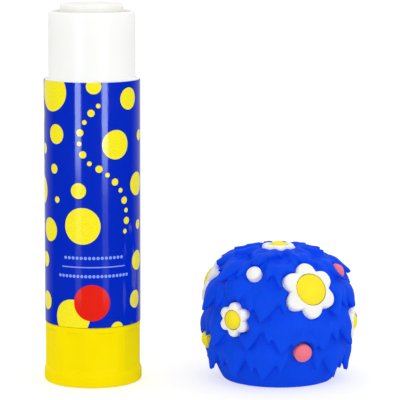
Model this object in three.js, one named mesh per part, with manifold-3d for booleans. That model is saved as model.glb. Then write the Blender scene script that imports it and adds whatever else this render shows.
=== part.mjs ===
// A twist-up glue stick, standing open, with its soft cap taken off and set down beside it.
// Turning the knob turns a coarse left-handed screw. A carrier that cannot turn rides up the
// screw and pushes the glue out of the barrel's neck.
// Millimetres. The origin is the centre of the knob's base on the table. +Z runs up the stick's
// axis and +X points to the cap, which stands on its own mouth.

import * as THREE from "three";
import { mergeVertices } from "three/addons/utils/BufferGeometryUtils.js";
import Module from "manifold-3d";

const wasm = await Module();
wasm.setup();

// Stick, outside
const STICK_HEIGHT = 97.9; // table to the barrel's rim
const BODY_DIAMETER = 24.9; // barrel, under its label
const NECK_DIAMETER = 22.8; // the part of the barrel that the cap slides over
const NECK_LENGTH = 17.5; // shoulder to rim
const LABEL_THICKNESS = 0.15;
const KNOB_DIAMETER = 25.2; // about flush with the label
const KNOB_HEIGHT = 16;

// Barrel
const BARREL_WALL = 1.2;
const NECK_WALL = 1.3;
const RIM_ROUNDING = 0.55;
const SHOULDER_BEVEL = 0.25;
const GUIDE_RIBS = 6;
const GUIDE_RIB_WIDTH = 1;
const GUIDE_RIB_BELOW_RIM = 3.2;
const GROOVE_DEPTH = 0.5; // takes the screw's snap bead
const GROOVE_HEIGHT = 1.7;
const GROOVE_ABOVE_END = 1.3;
const LEAD_IN = 0.4; // bevels that help pieces go together

// Knob
const KNOB_WALL = 1.5;
const KNOB_FLOOR = 2;
const KNOB_FLATS = 12;
const FLATS_DEPTH = 0.1; // of the flats' middles, under the plain collar
const KNOB_COLLAR = 1.7; // plain band above the flats
const KNOB_FLARE = 0.4; // how far the foot stands out beyond the rest of the knob
const FOOT_HEIGHT = 3.2;
const FLARE_RUN = 2; // height over which the foot runs into the flats
const FOOT_ROUNDING = 1.6;
const BASE_PAD_RADIUS = 6.6; // flat centre of the base
const BASE_RECESS_WIDTH = 3;
const BASE_RECESS_DEPTH = 0.5;
const HUB_RADIUS = 6.3;
const HUB_HEIGHT = 11; // above the knob's floor
const WEBS = 6;
const WEB_THICKNESS = 1.1;
const WEB_HEIGHT = 7.5;
const SPLINES = 8;
const SPLINE_RADIUS = 4.6;
const SPLINE_DEPTH = 0.7;

// Feed screw
const LEAD = 6; // climb for each turn of the knob
const CORE_RADIUS = 2.6;
const THREAD_DEPTH = 1;
const THREAD_ROOT_WIDTH = 2;
const THREAD_CREST_WIDTH = 1;
const SCREW_TOP_BELOW_RIM = 9.9;
const FLANGE_THICKNESS = 1.4;
const COLLAR_HEIGHT = 3.3; // skirt under the flange, which carries the snap bead
const COLLAR_WALL = 1.2;
const BEAD_STANDS_OUT = 0.25; // beyond the barrel's bore

// Carrier and glue
const GLUE_DIAMETER = 16.7;
const GLUE_STANDS_PROUD = 2.3; // above the rim, as photographed
const GLUE_EDGE_ROUNDING = 0.8;
const GLUE_CROWN = 0.25; // how much the top is domed
const RETRACT_TRAVEL = 3.5; // how far the glue still winds down from here
const CARRIER_FLOOR = 1.4;
const CUP_HEIGHT = 9; // fingers above the carrier's floor
const NUT_WALL = 1.35;
const NUT_HEIGHT = 8.4;

// Cap
const CAP_STANDS_AT = 49.4; // from the stick's axis to the cap's
const CAP_RADIUS = 19; // smooth body, without its tufts
const CAP_HEIGHT = 34.4;
const CAP_WIDEST_AT = 16.5; // height of the widest ring
const CAP_MOUTH_RADIUS = 14.6;
const CAP_SQUARENESS = 2.6; // 2 is an ellipse, and more gives the dome fuller shoulders
const LINER_WALL = 1;
const LINER_ROOF = 1.2;
const GLUE_CHAMBER = 4.5; // height over the seated rim, so that the glue is not touched
const SEAT_WIDTH = 1.9; // ledge that lands on the barrel's rim
const CRUSH_RIBS = 8;
const CRUSH_RIB_WIDTH = 0.8;
const CRUSH_RIB_DEPTH = 0.3;
const LOCK_RING_AT = 7; // height of the ring that locks the liner in the soft cap
const LOCK_RING_DEPTH = 0.5;
const LOCK_RING_HEIGHT = 1.8;

// Tufts, in overlapping rows from the crown to the mouth. Shares run along the side outline.
const TUFTS = 12; // in each row
const ROW_TIPS = [0.25, 0.42, 0.59, 0.76, 0.92];
const TUFT_NOTCH = 0.085; // share between a row's tips and the notches beside them
const TUFT_SHARPNESS = 1.25; // 1 is a plain zigzag, and more rounds the notches
const TUFT_LIFT = 2.1;
const TUFT_SIDE_DROP = 0.6; // share of the lift that is lost between two tips
const STEP_RUN = 1; // slope under a row's edge, so that no inlay's pocket runs in under it

// Flowers and dots inlaid in the cap
const INLAY_SUNK = 1; // pocket floor under the smooth body
const INLAY_RISE = 1.5; // rim over the smooth body
const INLAY_DOME = 0.7; // crown over the rim
const PETALS = 6;
const PETAL_NOTCH = 0.26; // depth of the notches between petals, as a share of the flower's radius
const PETAL_SHARE = 0.42; // of the flower's radius, from the yellow centre to a petal's tip
const PETAL_CROWN = 0.3; // how much a petal swells over its edge
const PETAL_CROWN_AT = 0.8; // where it is highest, as a share of the way out
const DOME_SHOULDER = 0.7; // share of a dome's radius and rise at which its side bends in

// Clearances
const TURNING_GAP = 0.1; // between the knob and the barrel, face to face
const SLIDING_GAP = 0.25;
const SEAT_GAP = 0.1; // face to face
const FILM_GAP = 0.05;
const INLAY_GAP = 0.15;
const CAP_FIT = 0.05; // crush ribs on the neck

// How finely round things are drawn
const SIDES = 48;
const INNER_SIDES = 32; // pieces that are out of sight
const BORE_SIDES = 18;
const THREAD_SIDES = 12; // the thread's core, and its steps for each turn
const CENTRE_SIDES = 12;
const DOT_SIDES = 10;
const PETAL_COLUMNS = 4; // for each petal
const TUFT_COLUMNS = 4; // for each tuft
const EMBED = 0.3; // how deep joined shapes reach into each other

// Sizes that follow
const bodyRadius = BODY_DIAMETER / 2;
const knobRadius = KNOB_DIAMETER / 2;
const neckRadius = NECK_DIAMETER / 2;
const bodyBore = bodyRadius - BARREL_WALL;
const neckBore = neckRadius - NECK_WALL;
const glueRadius = GLUE_DIAMETER / 2;
const barrelEnd = KNOB_HEIGHT + TURNING_GAP;
const shoulder = STICK_HEIGHT - NECK_LENGTH;
const hubTop = KNOB_FLOOR + HUB_HEIGHT;
const collarFoot = KNOB_HEIGHT + SLIDING_GAP;
const flangeTop = collarFoot + COLLAR_HEIGHT + FLANGE_THICKNESS;
const screwTop = STICK_HEIGHT - SCREW_TOP_BELOW_RIM;
const threadRadius = CORE_RADIUS + THREAD_DEPTH;
const threadFoot = flangeTop + THREAD_ROOT_WIDTH;
const carrierFoot = flangeTop + SLIDING_GAP + RETRACT_TRAVEL;
const glueFoot = carrierFoot + CARRIER_FLOOR + SEAT_GAP;
const glueTop = STICK_HEIGHT + GLUE_STANDS_PROUD;
const nutRadius = threadRadius + SLIDING_GAP + NUT_WALL;
const linerBore = neckRadius + CAP_FIT + CRUSH_RIB_DEPTH;
const linerRoof = NECK_LENGTH + GLUE_CHAMBER;

const COLOURS = {
  white: 0xf4f3ee,
  glue: 0xfaf9f4,
  blue: 0x0c2fc0,
  yellow: 0xffe000,
  capBlue: 0x124ce0,
  capYellow: 0xffea30,
  pink: 0xf2879a,
};

// Turns a closed geometry into a solid that can be joined and cut.
function solid(geometry) {
  const bare = new THREE.BufferGeometry();
  bare.setAttribute("position", geometry.getAttribute("position"));
  bare.setIndex(geometry.index);
  const merged = mergeVertices(bare, 1e-3);
  const corners = merged.index.array;
  const triangles = [];
  for (let i = 0; i < corners.length; i += 3) {
    const [a, b, c] = corners.slice(i, i + 3);
    if (a !== b && b !== c && c !== a) triangles.push(a, b, c);
  }
  const mesh = new wasm.Mesh({
    numProp: 3,
    vertProperties: merged.getAttribute("position").array,
    triVerts: new Uint32Array(triangles),
  });
  return new wasm.Manifold(mesh);
}

// Gives a solid's faces back as a geometry.
function geometryOf(shape) {
  const { vertProperties, triVerts } = shape.getMesh();
  const geometry = new THREE.BufferGeometry();
  geometry.setAttribute("position", new THREE.BufferAttribute(vertProperties, 3));
  geometry.setIndex(new THREE.BufferAttribute(triVerts, 1));
  geometry.computeVertexNormals();
  return geometry;
}

// One named piece of the product.
function piece(name, shape, colour, roughness) {
  const material = new THREE.MeshStandardMaterial({ color: colour, roughness, metalness: 0 });
  const mesh = new THREE.Mesh(geometryOf(shape), material);
  mesh.name = name;
  return mesh;
}

// Revolves [radius, height] points about Z. A profile runs from the axis to the axis, lowest first.
function revolved(profile, sides = SIDES) {
  const points = profile.map(([radius, height]) => new THREE.Vector2(radius, height));
  return new THREE.LatheGeometry(points, sides).rotateX(Math.PI / 2);
}

// Revolves a closed outline that stays clear of the axis.
function revolvedRing(outline, sides = SIDES) {
  return revolved([...outline, outline[0]], sides);
}

// An upright cylinder on the Z axis, between two heights.
function disc(radius, foot, top, sides) {
  const profile = [
    [0, foot],
    [radius, foot],
    [radius, top],
    [0, top],
  ];
  return revolved(profile, sides);
}

// Points along an arc in a profile, both ends included. Angles in degrees, 0 is outwards, 90 is up.
function arc(radius, height, size, from, to, steps) {
  return Array.from({ length: steps + 1 }, (_, i) => {
    const angle = THREE.MathUtils.degToRad(from + ((to - from) * i) / steps);
    return [radius + size * Math.cos(angle), height + size * Math.sin(angle)];
  });
}

// An upright prism on a closed plan outline.
function prism(outline, foot, top) {
  const plan = new THREE.Shape(outline.map(([x, y]) => new THREE.Vector2(x, y)));
  const settings = { depth: top - foot, bevelEnabled: false };
  return new THREE.ExtrudeGeometry(plan, settings).translate(0, 0, foot);
}

// Copies of an upright fin, given by its [radius, height] outline, set evenly round the axis.
function finsRound(count, outline, width) {
  const side = new THREE.Shape(outline.map(([x, y]) => new THREE.Vector2(x, y)));
  return Array.from({ length: count }, (_, i) => {
    const fin = new THREE.ExtrudeGeometry(side, { depth: width, bevelEnabled: false });
    fin.translate(0, 0, -width / 2).rotateX(Math.PI / 2);
    return solid(fin.rotateZ((2 * Math.PI * i) / count));
  });
}

// Joins rings of points, lowest first, into a closed skin with a fan of faces over each end.
function skin(rings, footCentre, topCentre) {
  const columns = rings[0].length;
  const points = [...rings.flat(), footCentre, topCentre];
  const triangles = [];
  const foot = points.length - 2;
  const top = points.length - 1;
  for (let c = 0; c < columns; c++) {
    const next = (c + 1) % columns;
    for (let row = 0; row + 1 < rings.length; row++) {
      const low = row * columns;
      const high = low + columns;
      triangles.push(low + c, low + next, high + next, low + c, high + next, high + c);
    }
    const last = (rings.length - 1) * columns;
    triangles.push(foot, next, c, top, last + c, last + next);
  }
  const geometry = new THREE.BufferGeometry();
  geometry.setAttribute("position", new THREE.Float32BufferAttribute(points.flat(), 3));
  geometry.setIndex(triangles);
  return geometry;
}

// A ring of points round Z, starting at the front, -Y, and going round through +X.
function ringOfPoints(columns, pointAt) {
  return Array.from({ length: columns }, (_, c) => {
    const angle = (2 * Math.PI * c) / columns;
    const [radius, height] = pointAt(c, angle);
    return [radius * Math.sin(angle), -radius * Math.cos(angle), height];
  });
}

// A left-handed ridge wound round Z, between two heights of its middle. It belongs to the helix
// that passes the side +X at height phase. Its section runs from the root radius to the crest,
// and the crest fades into the root at both ends.
function wound({ phase, foot, top, root, crest }) {
  const first = (foot - phase) / LEAD;
  const turns = (top - foot) / LEAD;
  const steps = Math.ceil(turns * THREAD_SIDES);
  const fade = 0.3; // turns
  const points = [];
  const triangles = [];
  for (let i = 0; i <= steps; i++) {
    const turn = Math.min(i / THREAD_SIDES, turns);
    const angle = -2 * Math.PI * (first + turn);
    const share = THREE.MathUtils.clamp(Math.min(turn, turns - turn) / fade, 0.12, 1);
    const edge = root + (crest - root) * share;
    const centre = foot + LEAD * turn;
    const section = [
      [root, -THREAD_ROOT_WIDTH / 2],
      [edge, -THREAD_CREST_WIDTH / 2],
      [edge, THREAD_CREST_WIDTH / 2],
      [root, THREAD_ROOT_WIDTH / 2],
    ];
    for (const [radius, height] of section)
      points.push(radius * Math.cos(angle), radius * Math.sin(angle), centre + height);
    if (i === steps) continue;
    for (let side = 0; side < 4; side++) {
      const a = 4 * i + side;
      const b = 4 * i + ((side + 1) % 4);
      triangles.push(a, b, b + 4, a, b + 4, a + 4);
    }
  }
  const end = 4 * steps;
  triangles.push(0, 2, 1, 0, 3, 2, end, end + 1, end + 2, end, end + 2, end + 3);
  if (crest < root) triangles.reverse(); // a ridge on an inside wall has its faces the other way
  const geometry = new THREE.BufferGeometry();
  geometry.setAttribute("position", new THREE.Float32BufferAttribute(points, 3));
  geometry.setIndex(triangles);
  return solid(geometry);
}

// Plan outline of the splined joint between the knob's hub and the screw's foot.
function splineOutline(clearance) {
  return Array.from({ length: SPLINES * 4 }, (_, i) => {
    const radius = SPLINE_RADIUS + clearance - (i % 4 < 2 ? 0 : SPLINE_DEPTH);
    const angle = (2 * Math.PI * (i + 0.5)) / (SPLINES * 4);
    return [radius * Math.cos(angle), radius * Math.sin(angle)];
  });
}

// Barrel: a tube with a stepped neck, guide ribs down its bore and a groove for the screw's bead
function barrel() {
  const stepTop = shoulder - NECK_WALL;
  const stepFoot = stepTop - (bodyBore - neckBore);
  const grooveFoot = barrelEnd + GROOVE_ABOVE_END;
  const grooveTop = grooveFoot + GROOVE_HEIGHT;
  const grooveRadius = bodyBore + GROOVE_DEPTH;
  const outside = revolved([
    [0, barrelEnd],
    [bodyRadius, barrelEnd],
    [bodyRadius, shoulder - SHOULDER_BEVEL],
    [bodyRadius - SHOULDER_BEVEL, shoulder],
    [neckRadius, shoulder],
    ...arc(neckRadius - RIM_ROUNDING, STICK_HEIGHT - RIM_ROUNDING, RIM_ROUNDING, 0, 90, 2),
    [0, STICK_HEIGHT],
  ]);
  const bore = revolved(
    [
      [0, barrelEnd - EMBED],
      [bodyBore + LEAD_IN + EMBED, barrelEnd - EMBED],
      [bodyBore, barrelEnd + LEAD_IN],
      [bodyBore, grooveFoot],
      [grooveRadius, grooveFoot + LEAD_IN],
      [grooveRadius, grooveTop - LEAD_IN],
      [bodyBore, grooveTop],
      [bodyBore, stepFoot],
      [neckBore, stepTop],
      [neckBore, STICK_HEIGHT + EMBED],
      [0, STICK_HEIGHT + EMBED],
    ],
    INNER_SIDES,
  );
  const tube = solid(outside).subtract(solid(bore));
  const ribRadius = glueRadius + SLIDING_GAP;
  const ribTop = STICK_HEIGHT - GUIDE_RIB_BELOW_RIM;
  const ribOutline = [
    [ribRadius, flangeTop + SLIDING_GAP],
    [bodyBore + EMBED, flangeTop + SLIDING_GAP],
    [bodyBore + EMBED, stepFoot],
    [neckBore + EMBED, stepTop],
    [neckBore + EMBED, ribTop],
    [ribRadius, ribTop - (neckBore - ribRadius)],
  ];
  const ribs = finsRound(GUIDE_RIBS, ribOutline, GUIDE_RIB_WIDTH);
  const whole = ribs.reduce((body, rib) => body.add(rib), tube);
  return piece("barrel", whole, COLOURS.white, 0.35);
}

// Label: a printed film wrapped round the barrel between the knob and the shoulder
function label() {
  const inside = bodyRadius + FILM_GAP;
  const outside = inside + LABEL_THICKNESS;
  const film = revolvedRing([
    [outside, barrelEnd],
    [outside, shoulder - SHOULDER_BEVEL],
    [inside, shoulder - SHOULDER_BEVEL],
    [inside, barrelEnd],
  ]);
  return piece("label_sleeve", solid(film), COLOURS.blue, 0.25);
}

// Knob: a moulded cup with a flared foot, flats to grip, and a splined hub held by webs
function knob() {
  const columns = SIDES;
  const flat = knobRadius - FLATS_DEPTH;
  const pitch = (2 * Math.PI) / KNOB_FLATS;
  const footRadius = knobRadius + KNOB_FLARE;
  const onFlats = (angle) => flat / Math.cos(((angle + pitch / 2) % pitch) - pitch / 2);
  const plain = (radius, height) => ringOfPoints(columns, () => [radius, height]);
  const flats = (height) => ringOfPoints(columns, (_, angle) => [onFlats(angle), height]);
  const rounding = arc(footRadius - FOOT_ROUNDING, FOOT_ROUNDING, FOOT_ROUNDING, -90, 0, 3);
  const flatsTop = KNOB_HEIGHT - KNOB_COLLAR;
  const outside = skin(
    [
      ...rounding.map(([radius, height]) => plain(radius, height)),
      plain(footRadius, FOOT_HEIGHT),
      flats(FOOT_HEIGHT + FLARE_RUN),
      flats(flatsTop - LEAD_IN),
      plain(knobRadius, flatsTop),
      plain(knobRadius, KNOB_HEIGHT),
    ],
    [0, 0, 0],
    [0, 0, KNOB_HEIGHT],
  );
  const cavityRadius = knobRadius - KNOB_WALL;
  const cavity = disc(cavityRadius, KNOB_FLOOR, KNOB_HEIGHT + EMBED, INNER_SIDES);
  const recessEdge = BASE_PAD_RADIUS + BASE_RECESS_WIDTH;
  const recess = revolvedRing(
    [
      [recessEdge, -EMBED],
      [recessEdge, BASE_RECESS_DEPTH],
      [BASE_PAD_RADIUS, BASE_RECESS_DEPTH],
      [BASE_PAD_RADIUS, -EMBED],
    ],
    INNER_SIDES,
  );
  const hub = disc(HUB_RADIUS, KNOB_FLOOR - EMBED, hubTop, INNER_SIDES);
  const webFoot = KNOB_FLOOR - EMBED;
  const webTop = KNOB_FLOOR + WEB_HEIGHT;
  const webOutline = [
    [HUB_RADIUS - EMBED, webFoot],
    [cavityRadius + EMBED, webFoot],
    [cavityRadius + EMBED, webTop],
    [HUB_RADIUS - EMBED, webTop],
  ];
  const webs = finsRound(WEBS, webOutline, WEB_THICKNESS);
  const socket = prism(splineOutline(INLAY_GAP), KNOB_FLOOR, hubTop + EMBED);
  const cup = solid(outside).subtract(solid(cavity)).subtract(solid(recess)).add(solid(hub));
  const whole = webs.reduce((body, web) => body.add(web), cup).subtract(solid(socket));
  return piece("twist_knob", whole, COLOURS.yellow, 0.3);
}

// Feed screw: a splined foot in the knob, a flange that snaps into the barrel, and the thread
function feedScrew() {
  const flangeRadius = bodyBore - SLIDING_GAP;
  const flangeFoot = flangeTop - FLANGE_THICKNESS;
  const beadRadius = bodyBore + BEAD_STANDS_OUT;
  const beadCentre = barrelEnd + GROOVE_ABOVE_END + GROOVE_HEIGHT / 2;
  const beadHalf = GROOVE_HEIGHT / 2 - SLIDING_GAP;
  const flange = revolved(
    [
      [0, hubTop + SEAT_GAP],
      [HUB_RADIUS, hubTop + SEAT_GAP],
      [HUB_RADIUS, flangeFoot],
      [flangeRadius - COLLAR_WALL, flangeFoot],
      [flangeRadius - COLLAR_WALL, collarFoot],
      [flangeRadius, collarFoot],
      [flangeRadius, beadCentre - beadHalf],
      [beadRadius, beadCentre - beadHalf / 3],
      [beadRadius, beadCentre + beadHalf / 3],
      [flangeRadius, beadCentre + beadHalf],
      [flangeRadius, flangeTop],
      [0, flangeTop],
    ],
    INNER_SIDES,
  );
  const core = revolved(
    [
      [0, flangeTop - EMBED],
      [threadRadius, flangeTop - EMBED],
      [threadRadius, flangeTop],
      [CORE_RADIUS, flangeTop + THREAD_DEPTH],
      [CORE_RADIUS, screwTop - THREAD_DEPTH],
      [CORE_RADIUS - THREAD_DEPTH, screwTop],
      [0, screwTop],
    ],
    THREAD_SIDES,
  );
  const foot = prism(splineOutline(0), KNOB_FLOOR + SEAT_GAP, hubTop + SEAT_GAP + EMBED);
  const thread = wound({
    phase: threadFoot,
    foot: threadFoot,
    top: screwTop - THREAD_DEPTH - THREAD_ROOT_WIDTH / 2,
    root: CORE_RADIUS - EMBED,
    crest: threadRadius,
  });
  const whole = solid(flange).add(solid(foot)).add(solid(core)).add(thread);
  return piece("feed_screw", whole, COLOURS.white, 0.4);
}

// Carrier: a cup of fingers round the glue's foot, slotted for the guide ribs, with a nut
function carrier() {
  const outer = neckBore - SLIDING_GAP;
  const inner = glueRadius + SEAT_GAP;
  const floorTop = carrierFoot + CARRIER_FLOOR;
  const nutTop = carrierFoot + NUT_HEIGHT;
  const nutBore = threadRadius + SLIDING_GAP;
  const cup = revolvedRing(
    [
      [nutBore, carrierFoot],
      [outer - LEAD_IN, carrierFoot],
      [outer, carrierFoot + LEAD_IN],
      [outer, floorTop + CUP_HEIGHT - LEAD_IN],
      [outer - LEAD_IN, floorTop + CUP_HEIGHT],
      [inner, floorTop + CUP_HEIGHT],
      [inner, floorTop],
      [nutRadius, floorTop],
      [nutRadius, nutTop],
      [nutBore, nutTop],
    ],
    INNER_SIDES,
  );
  const slotOutline = [
    [glueRadius, carrierFoot - EMBED],
    [outer + EMBED, carrierFoot - EMBED],
    [outer + EMBED, floorTop + CUP_HEIGHT + EMBED],
    [glueRadius, floorTop + CUP_HEIGHT + EMBED],
  ];
  const slots = finsRound(GUIDE_RIBS, slotOutline, GUIDE_RIB_WIDTH + 2 * SLIDING_GAP);
  // The nut's ridge lies halfway between two turns of the screw's.
  const ridge = wound({
    phase: threadFoot + LEAD / 2,
    foot: carrierFoot + THREAD_ROOT_WIDTH / 2,
    top: nutTop - THREAD_ROOT_WIDTH / 2,
    root: nutBore + EMBED,
    crest: CORE_RADIUS + SLIDING_GAP,
  });
  const slotted = slots.reduce((body, slot) => body.subtract(slot), solid(cup));
  return piece("glue_carrier", slotted.add(ridge), COLOURS.white, 0.4);
}

// Glue: a cast cylinder, hollow below for the nut and the screw
function glue() {
  const nutSpace = nutRadius + SLIDING_GAP;
  const screwSpace = threadRadius + 2 * SLIDING_GAP;
  const nutSpaceTop = carrierFoot + NUT_HEIGHT + SLIDING_GAP;
  const boreTop = screwTop + RETRACT_TRAVEL + 2 * SLIDING_GAP;
  const edge = GLUE_EDGE_ROUNDING;
  const cast = revolved([
    [0, glueFoot],
    [glueRadius, glueFoot],
    ...arc(glueRadius - edge, glueTop - GLUE_CROWN - edge, edge, 0, 90, 2),
    [0, glueTop],
  ]);
  const bore = revolved(
    [
      [0, glueFoot - EMBED],
      [nutSpace, glueFoot - EMBED],
      [nutSpace, nutSpaceTop],
      [screwSpace, nutSpaceTop + nutSpace - screwSpace],
      [screwSpace, boreTop],
      [0, boreTop + screwSpace / 2],
    ],
    BORE_SIDES,
  );
  return piece("glue", solid(cast).subtract(solid(bore)), COLOURS.glue, 0.5);
}

// Outside of the cap's liner, lowest first. The soft cap's cavity is the same, grown by a gap.
function linerOutside(gap) {
  const radius = linerBore + LINER_WALL + gap;
  const chamberRadius = neckRadius - SEAT_WIDTH + LINER_WALL + gap;
  const half = LOCK_RING_HEIGHT / 2;
  const stepTop = NECK_LENGTH + LINER_WALL + gap;
  const roofTop = linerRoof + LINER_ROOF + gap;
  return [
    [radius, LOCK_RING_AT - half - gap],
    [radius + LOCK_RING_DEPTH, LOCK_RING_AT - half / 3],
    [radius + LOCK_RING_DEPTH, LOCK_RING_AT + half / 3],
    [radius, LOCK_RING_AT + half + gap],
    [radius, stepTop - (radius - chamberRadius) / 2],
    [chamberRadius, stepTop + (radius - chamberRadius) / 2],
    [chamberRadius, roofTop],
    [0, roofTop],
  ];
}

// Liner: the rigid inner cup of the cap, with a ledge that seals on the barrel's rim
function capLiner() {
  const seat = NECK_LENGTH + SEAT_GAP;
  const chamber = neckRadius - SEAT_WIDTH;
  const outside = linerOutside(0);
  const cup = revolved(
    [
      [0, linerRoof],
      [chamber, linerRoof],
      [chamber, seat],
      [linerBore, seat],
      [linerBore, LEAD_IN],
      [linerBore + LEAD_IN, 0],
      [outside[0][0], 0],
      ...outside,
    ],
    INNER_SIDES,
  );
  const ribOutline = [
    [linerBore + EMBED, 2 * LEAD_IN],
    [linerBore + EMBED, seat - LEAD_IN],
    [linerBore - CRUSH_RIB_DEPTH, seat - LEAD_IN],
    [linerBore - CRUSH_RIB_DEPTH, 4 * LEAD_IN],
  ];
  const ribs = finsRound(CRUSH_RIBS, ribOutline, CRUSH_RIB_WIDTH);
  const whole = ribs.reduce((body, rib) => body.add(rib), solid(cup));
  return piece("cap_liner", whole, COLOURS.white, 0.4);
}

// Side outline of the cap's smooth body as a table of [radius, height] from crown to mouth, with
// the length run so far: a full dome above the widest ring and part of an ellipse below it.
function capOutlineTable() {
  const samples = 240;
  const squeeze = Math.sqrt(1 - (CAP_MOUTH_RADIUS / CAP_RADIUS) ** 2);
  const below = CAP_WIDEST_AT / squeeze;
  const last = Math.PI / 2 + Math.asin(squeeze);
  const power = 2 / CAP_SQUARENESS;
  const table = [];
  let length = 0;
  for (let i = 0; i <= samples; i++) {
    const turn = (last * i) / samples;
    const across = Math.abs(Math.sin(turn));
    const along = Math.cos(turn);
    const point =
      along > 0
        ? [
            CAP_RADIUS * across ** power,
            CAP_WIDEST_AT + (CAP_HEIGHT - CAP_WIDEST_AT) * along ** power,
          ]
        : [CAP_RADIUS * across, CAP_WIDEST_AT + below * along];
    if (i > 0) {
      const before = table[i - 1];
      length += Math.hypot(point[0] - before.radius, point[1] - before.height);
    }
    table.push({ radius: point[0], height: point[1], length });
  }
  return table;
}

const capOutline = capOutlineTable();
const capOutlineLength = capOutline[capOutline.length - 1].length;

// The smooth body's outline at a share of its length: a point and the outward normal there.
function onCap(share) {
  const wanted = THREE.MathUtils.clamp(share, 0, 1) * capOutlineLength;
  const found = capOutline.findIndex((entry) => entry.length >= wanted);
  const index = Math.max(1, found < 0 ? capOutline.length - 1 : found);
  const [a, b] = [capOutline[index - 1], capOutline[index]];
  const part = (wanted - a.length) / (b.length - a.length);
  const along = b.length - a.length;
  return {
    radius: a.radius + (b.radius - a.radius) * part,
    height: a.height + (b.height - a.height) * part,
    outwards: (a.height - b.height) / along,
    upwards: (b.radius - a.radius) / along,
  };
}

// Where a column stands across a tuft of a row: 0 at the tip and 1 or -1 in the notches.
function acrossTuft(column, row) {
  const place = (column / TUFT_COLUMNS + row / 2) % 1;
  return 2 * place - 1;
}

// Share of the outline at which a row of tufts ends, at one column.
function rowEdge(row, column) {
  return ROW_TIPS[row] - TUFT_NOTCH * Math.abs(acrossTuft(column, row)) ** TUFT_SHARPNESS;
}

// The soft cap's outside: rows of pointed tufts, each row lifting from the body to its edge and
// then stepping down to the next.
function tuftedSkin() {
  const columns = TUFTS * TUFT_COLUMNS;
  const rings = [];
  const ring = (pointAt) => {
    rings.push(
      ringOfPoints(columns, (column) => {
        const { share, lift } = pointAt(column);
        const at = onCap(share);
        return [at.radius + lift * at.outwards, at.height + lift * at.upwards];
      }),
    );
  };
  const stepShare = STEP_RUN / capOutlineLength;
  const crownShare = 0.06;
  const rowStart = (row, column) =>
    row === 0 ? crownShare : rowEdge(row - 1, column) + stepShare;
  const liftAt = (row, column) =>
    TUFT_LIFT * (1 - TUFT_SIDE_DROP * acrossTuft(column, row) ** 2);
  ROW_TIPS.forEach((_, row) => {
    for (const part of [0, 0.5, 1])
      ring((column) => {
        const start = rowStart(row, column);
        const share = start + (rowEdge(row, column) - start) * part;
        return { share, lift: liftAt(row, column) * part ** 1.3 };
      });
  });
  const lastRow = ROW_TIPS.length - 1;
  ring((column) => ({ share: rowEdge(lastRow, column) + stepShare, lift: 0 }));
  ring(() => ({ share: 1, lift: 0 }));
  rings.reverse();
  return skin(rings, [0, 0, 0], [0, 0, CAP_HEIGHT]);
}

// An inlay's place on the cap, with its radius worked out from its share of the cap's radius.
function sized(place) {
  return { ...place, radius: place.size * CAP_RADIUS };
}

// Places on the cap: the turn from the front round through +X in degrees, the share of the side
// outline, and the inlay's size. A flower has a domed centre in a crown of petals.
const FLOWERS = [
  { turn: 22, share: 0.43, size: 0.39 },
  { turn: -42, share: 0.6, size: 0.24 },
  { turn: 78, share: 0.66, size: 0.25 },
  { turn: -104, share: 0.44, size: 0.35 },
  { turn: 142, share: 0.45, size: 0.38 },
  { turn: -158, share: 0.64, size: 0.25 },
  { turn: 0, share: 0, size: 0.25 },
].map(sized);
const DOTS = [
  { turn: -30, share: 0.34, size: 0.105, colour: "white" },
  { turn: 14, share: 0.77, size: 0.125, colour: "pink" },
  { turn: -84, share: 0.76, size: 0.12, colour: "capYellow" },
  { turn: 70, share: 0.36, size: 0.105, colour: "pink" },
  { turn: 106, share: 0.54, size: 0.11, colour: "white" },
  { turn: -136, share: 0.8, size: 0.115, colour: "pink" },
  { turn: 168, share: 0.78, size: 0.125, colour: "capYellow" },
].map(sized);

// Sets a geometry made on the origin, facing up, onto the cap's smooth body, and bends it to the
// body's roundness.
function onCapSurface(geometry, { turn, share }) {
  const at = onCap(share);
  const points = geometry.getAttribute("position");
  for (let i = 0; i < points.count; i++) {
    const sag = (points.getX(i) ** 2 + points.getY(i) ** 2) / (2 * CAP_RADIUS);
    points.setZ(i, points.getZ(i) - sag);
  }
  const lean = share === 0 ? 0 : Math.atan2(at.outwards, at.upwards);
  const radius = share === 0 ? 0 : at.radius;
  return geometry
    .rotateX(lean)
    .translate(0, -radius, share === 0 ? CAP_HEIGHT : at.height)
    .rotateZ(THREE.MathUtils.degToRad(turn));
}

// A ring of points on a flower's outline, grown by a gap and shrunk by a share.
function petalRing({ radius }, height, share = 1, gap = 0) {
  return ringOfPoints(PETALS * PETAL_COLUMNS, (_, angle) => {
    const petal = Math.abs(Math.cos((PETALS * angle) / 2));
    return [radius * share * (1 - PETAL_NOTCH * (1 - petal)) + gap, height];
  });
}

const inlayFoot = INLAY_GAP - INLAY_SUNK;
const pocketTop = INLAY_RISE + 4 * TUFT_LIFT;

// The hole that a flower sits in.
function flowerPocket(flower) {
  const rings = [-INLAY_SUNK, pocketTop].map((z) => petalRing(flower, z, 1, INLAY_GAP));
  const hole = skin(rings, [0, 0, -INLAY_SUNK], [0, 0, pocketTop]);
  return solid(onCapSurface(hole, flower));
}

// The hole that a dot sits in.
function dotPocket(dot) {
  const hole = disc(dot.radius + INLAY_GAP, -INLAY_SUNK, pocketTop, DOT_SIDES);
  return solid(onCapSurface(hole, dot));
}

// The petals of a flower, in one piece with a round hole for its centre.
function petals(flower) {
  const inner = flower.radius * (1 - PETAL_SHARE);
  const crown = INLAY_RISE + PETAL_CROWN;
  const rings = [
    petalRing(flower, inlayFoot),
    petalRing(flower, INLAY_RISE - PETAL_CROWN),
    petalRing(flower, crown, PETAL_CROWN_AT),
  ];
  const whole = skin(rings, [0, 0, inlayFoot], [0, 0, INLAY_RISE]);
  const hole = disc(inner, inlayFoot - EMBED, crown + EMBED, CENTRE_SIDES);
  return solid(onCapSurface(whole, flower)).subtract(solid(onCapSurface(hole, flower)));
}

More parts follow.
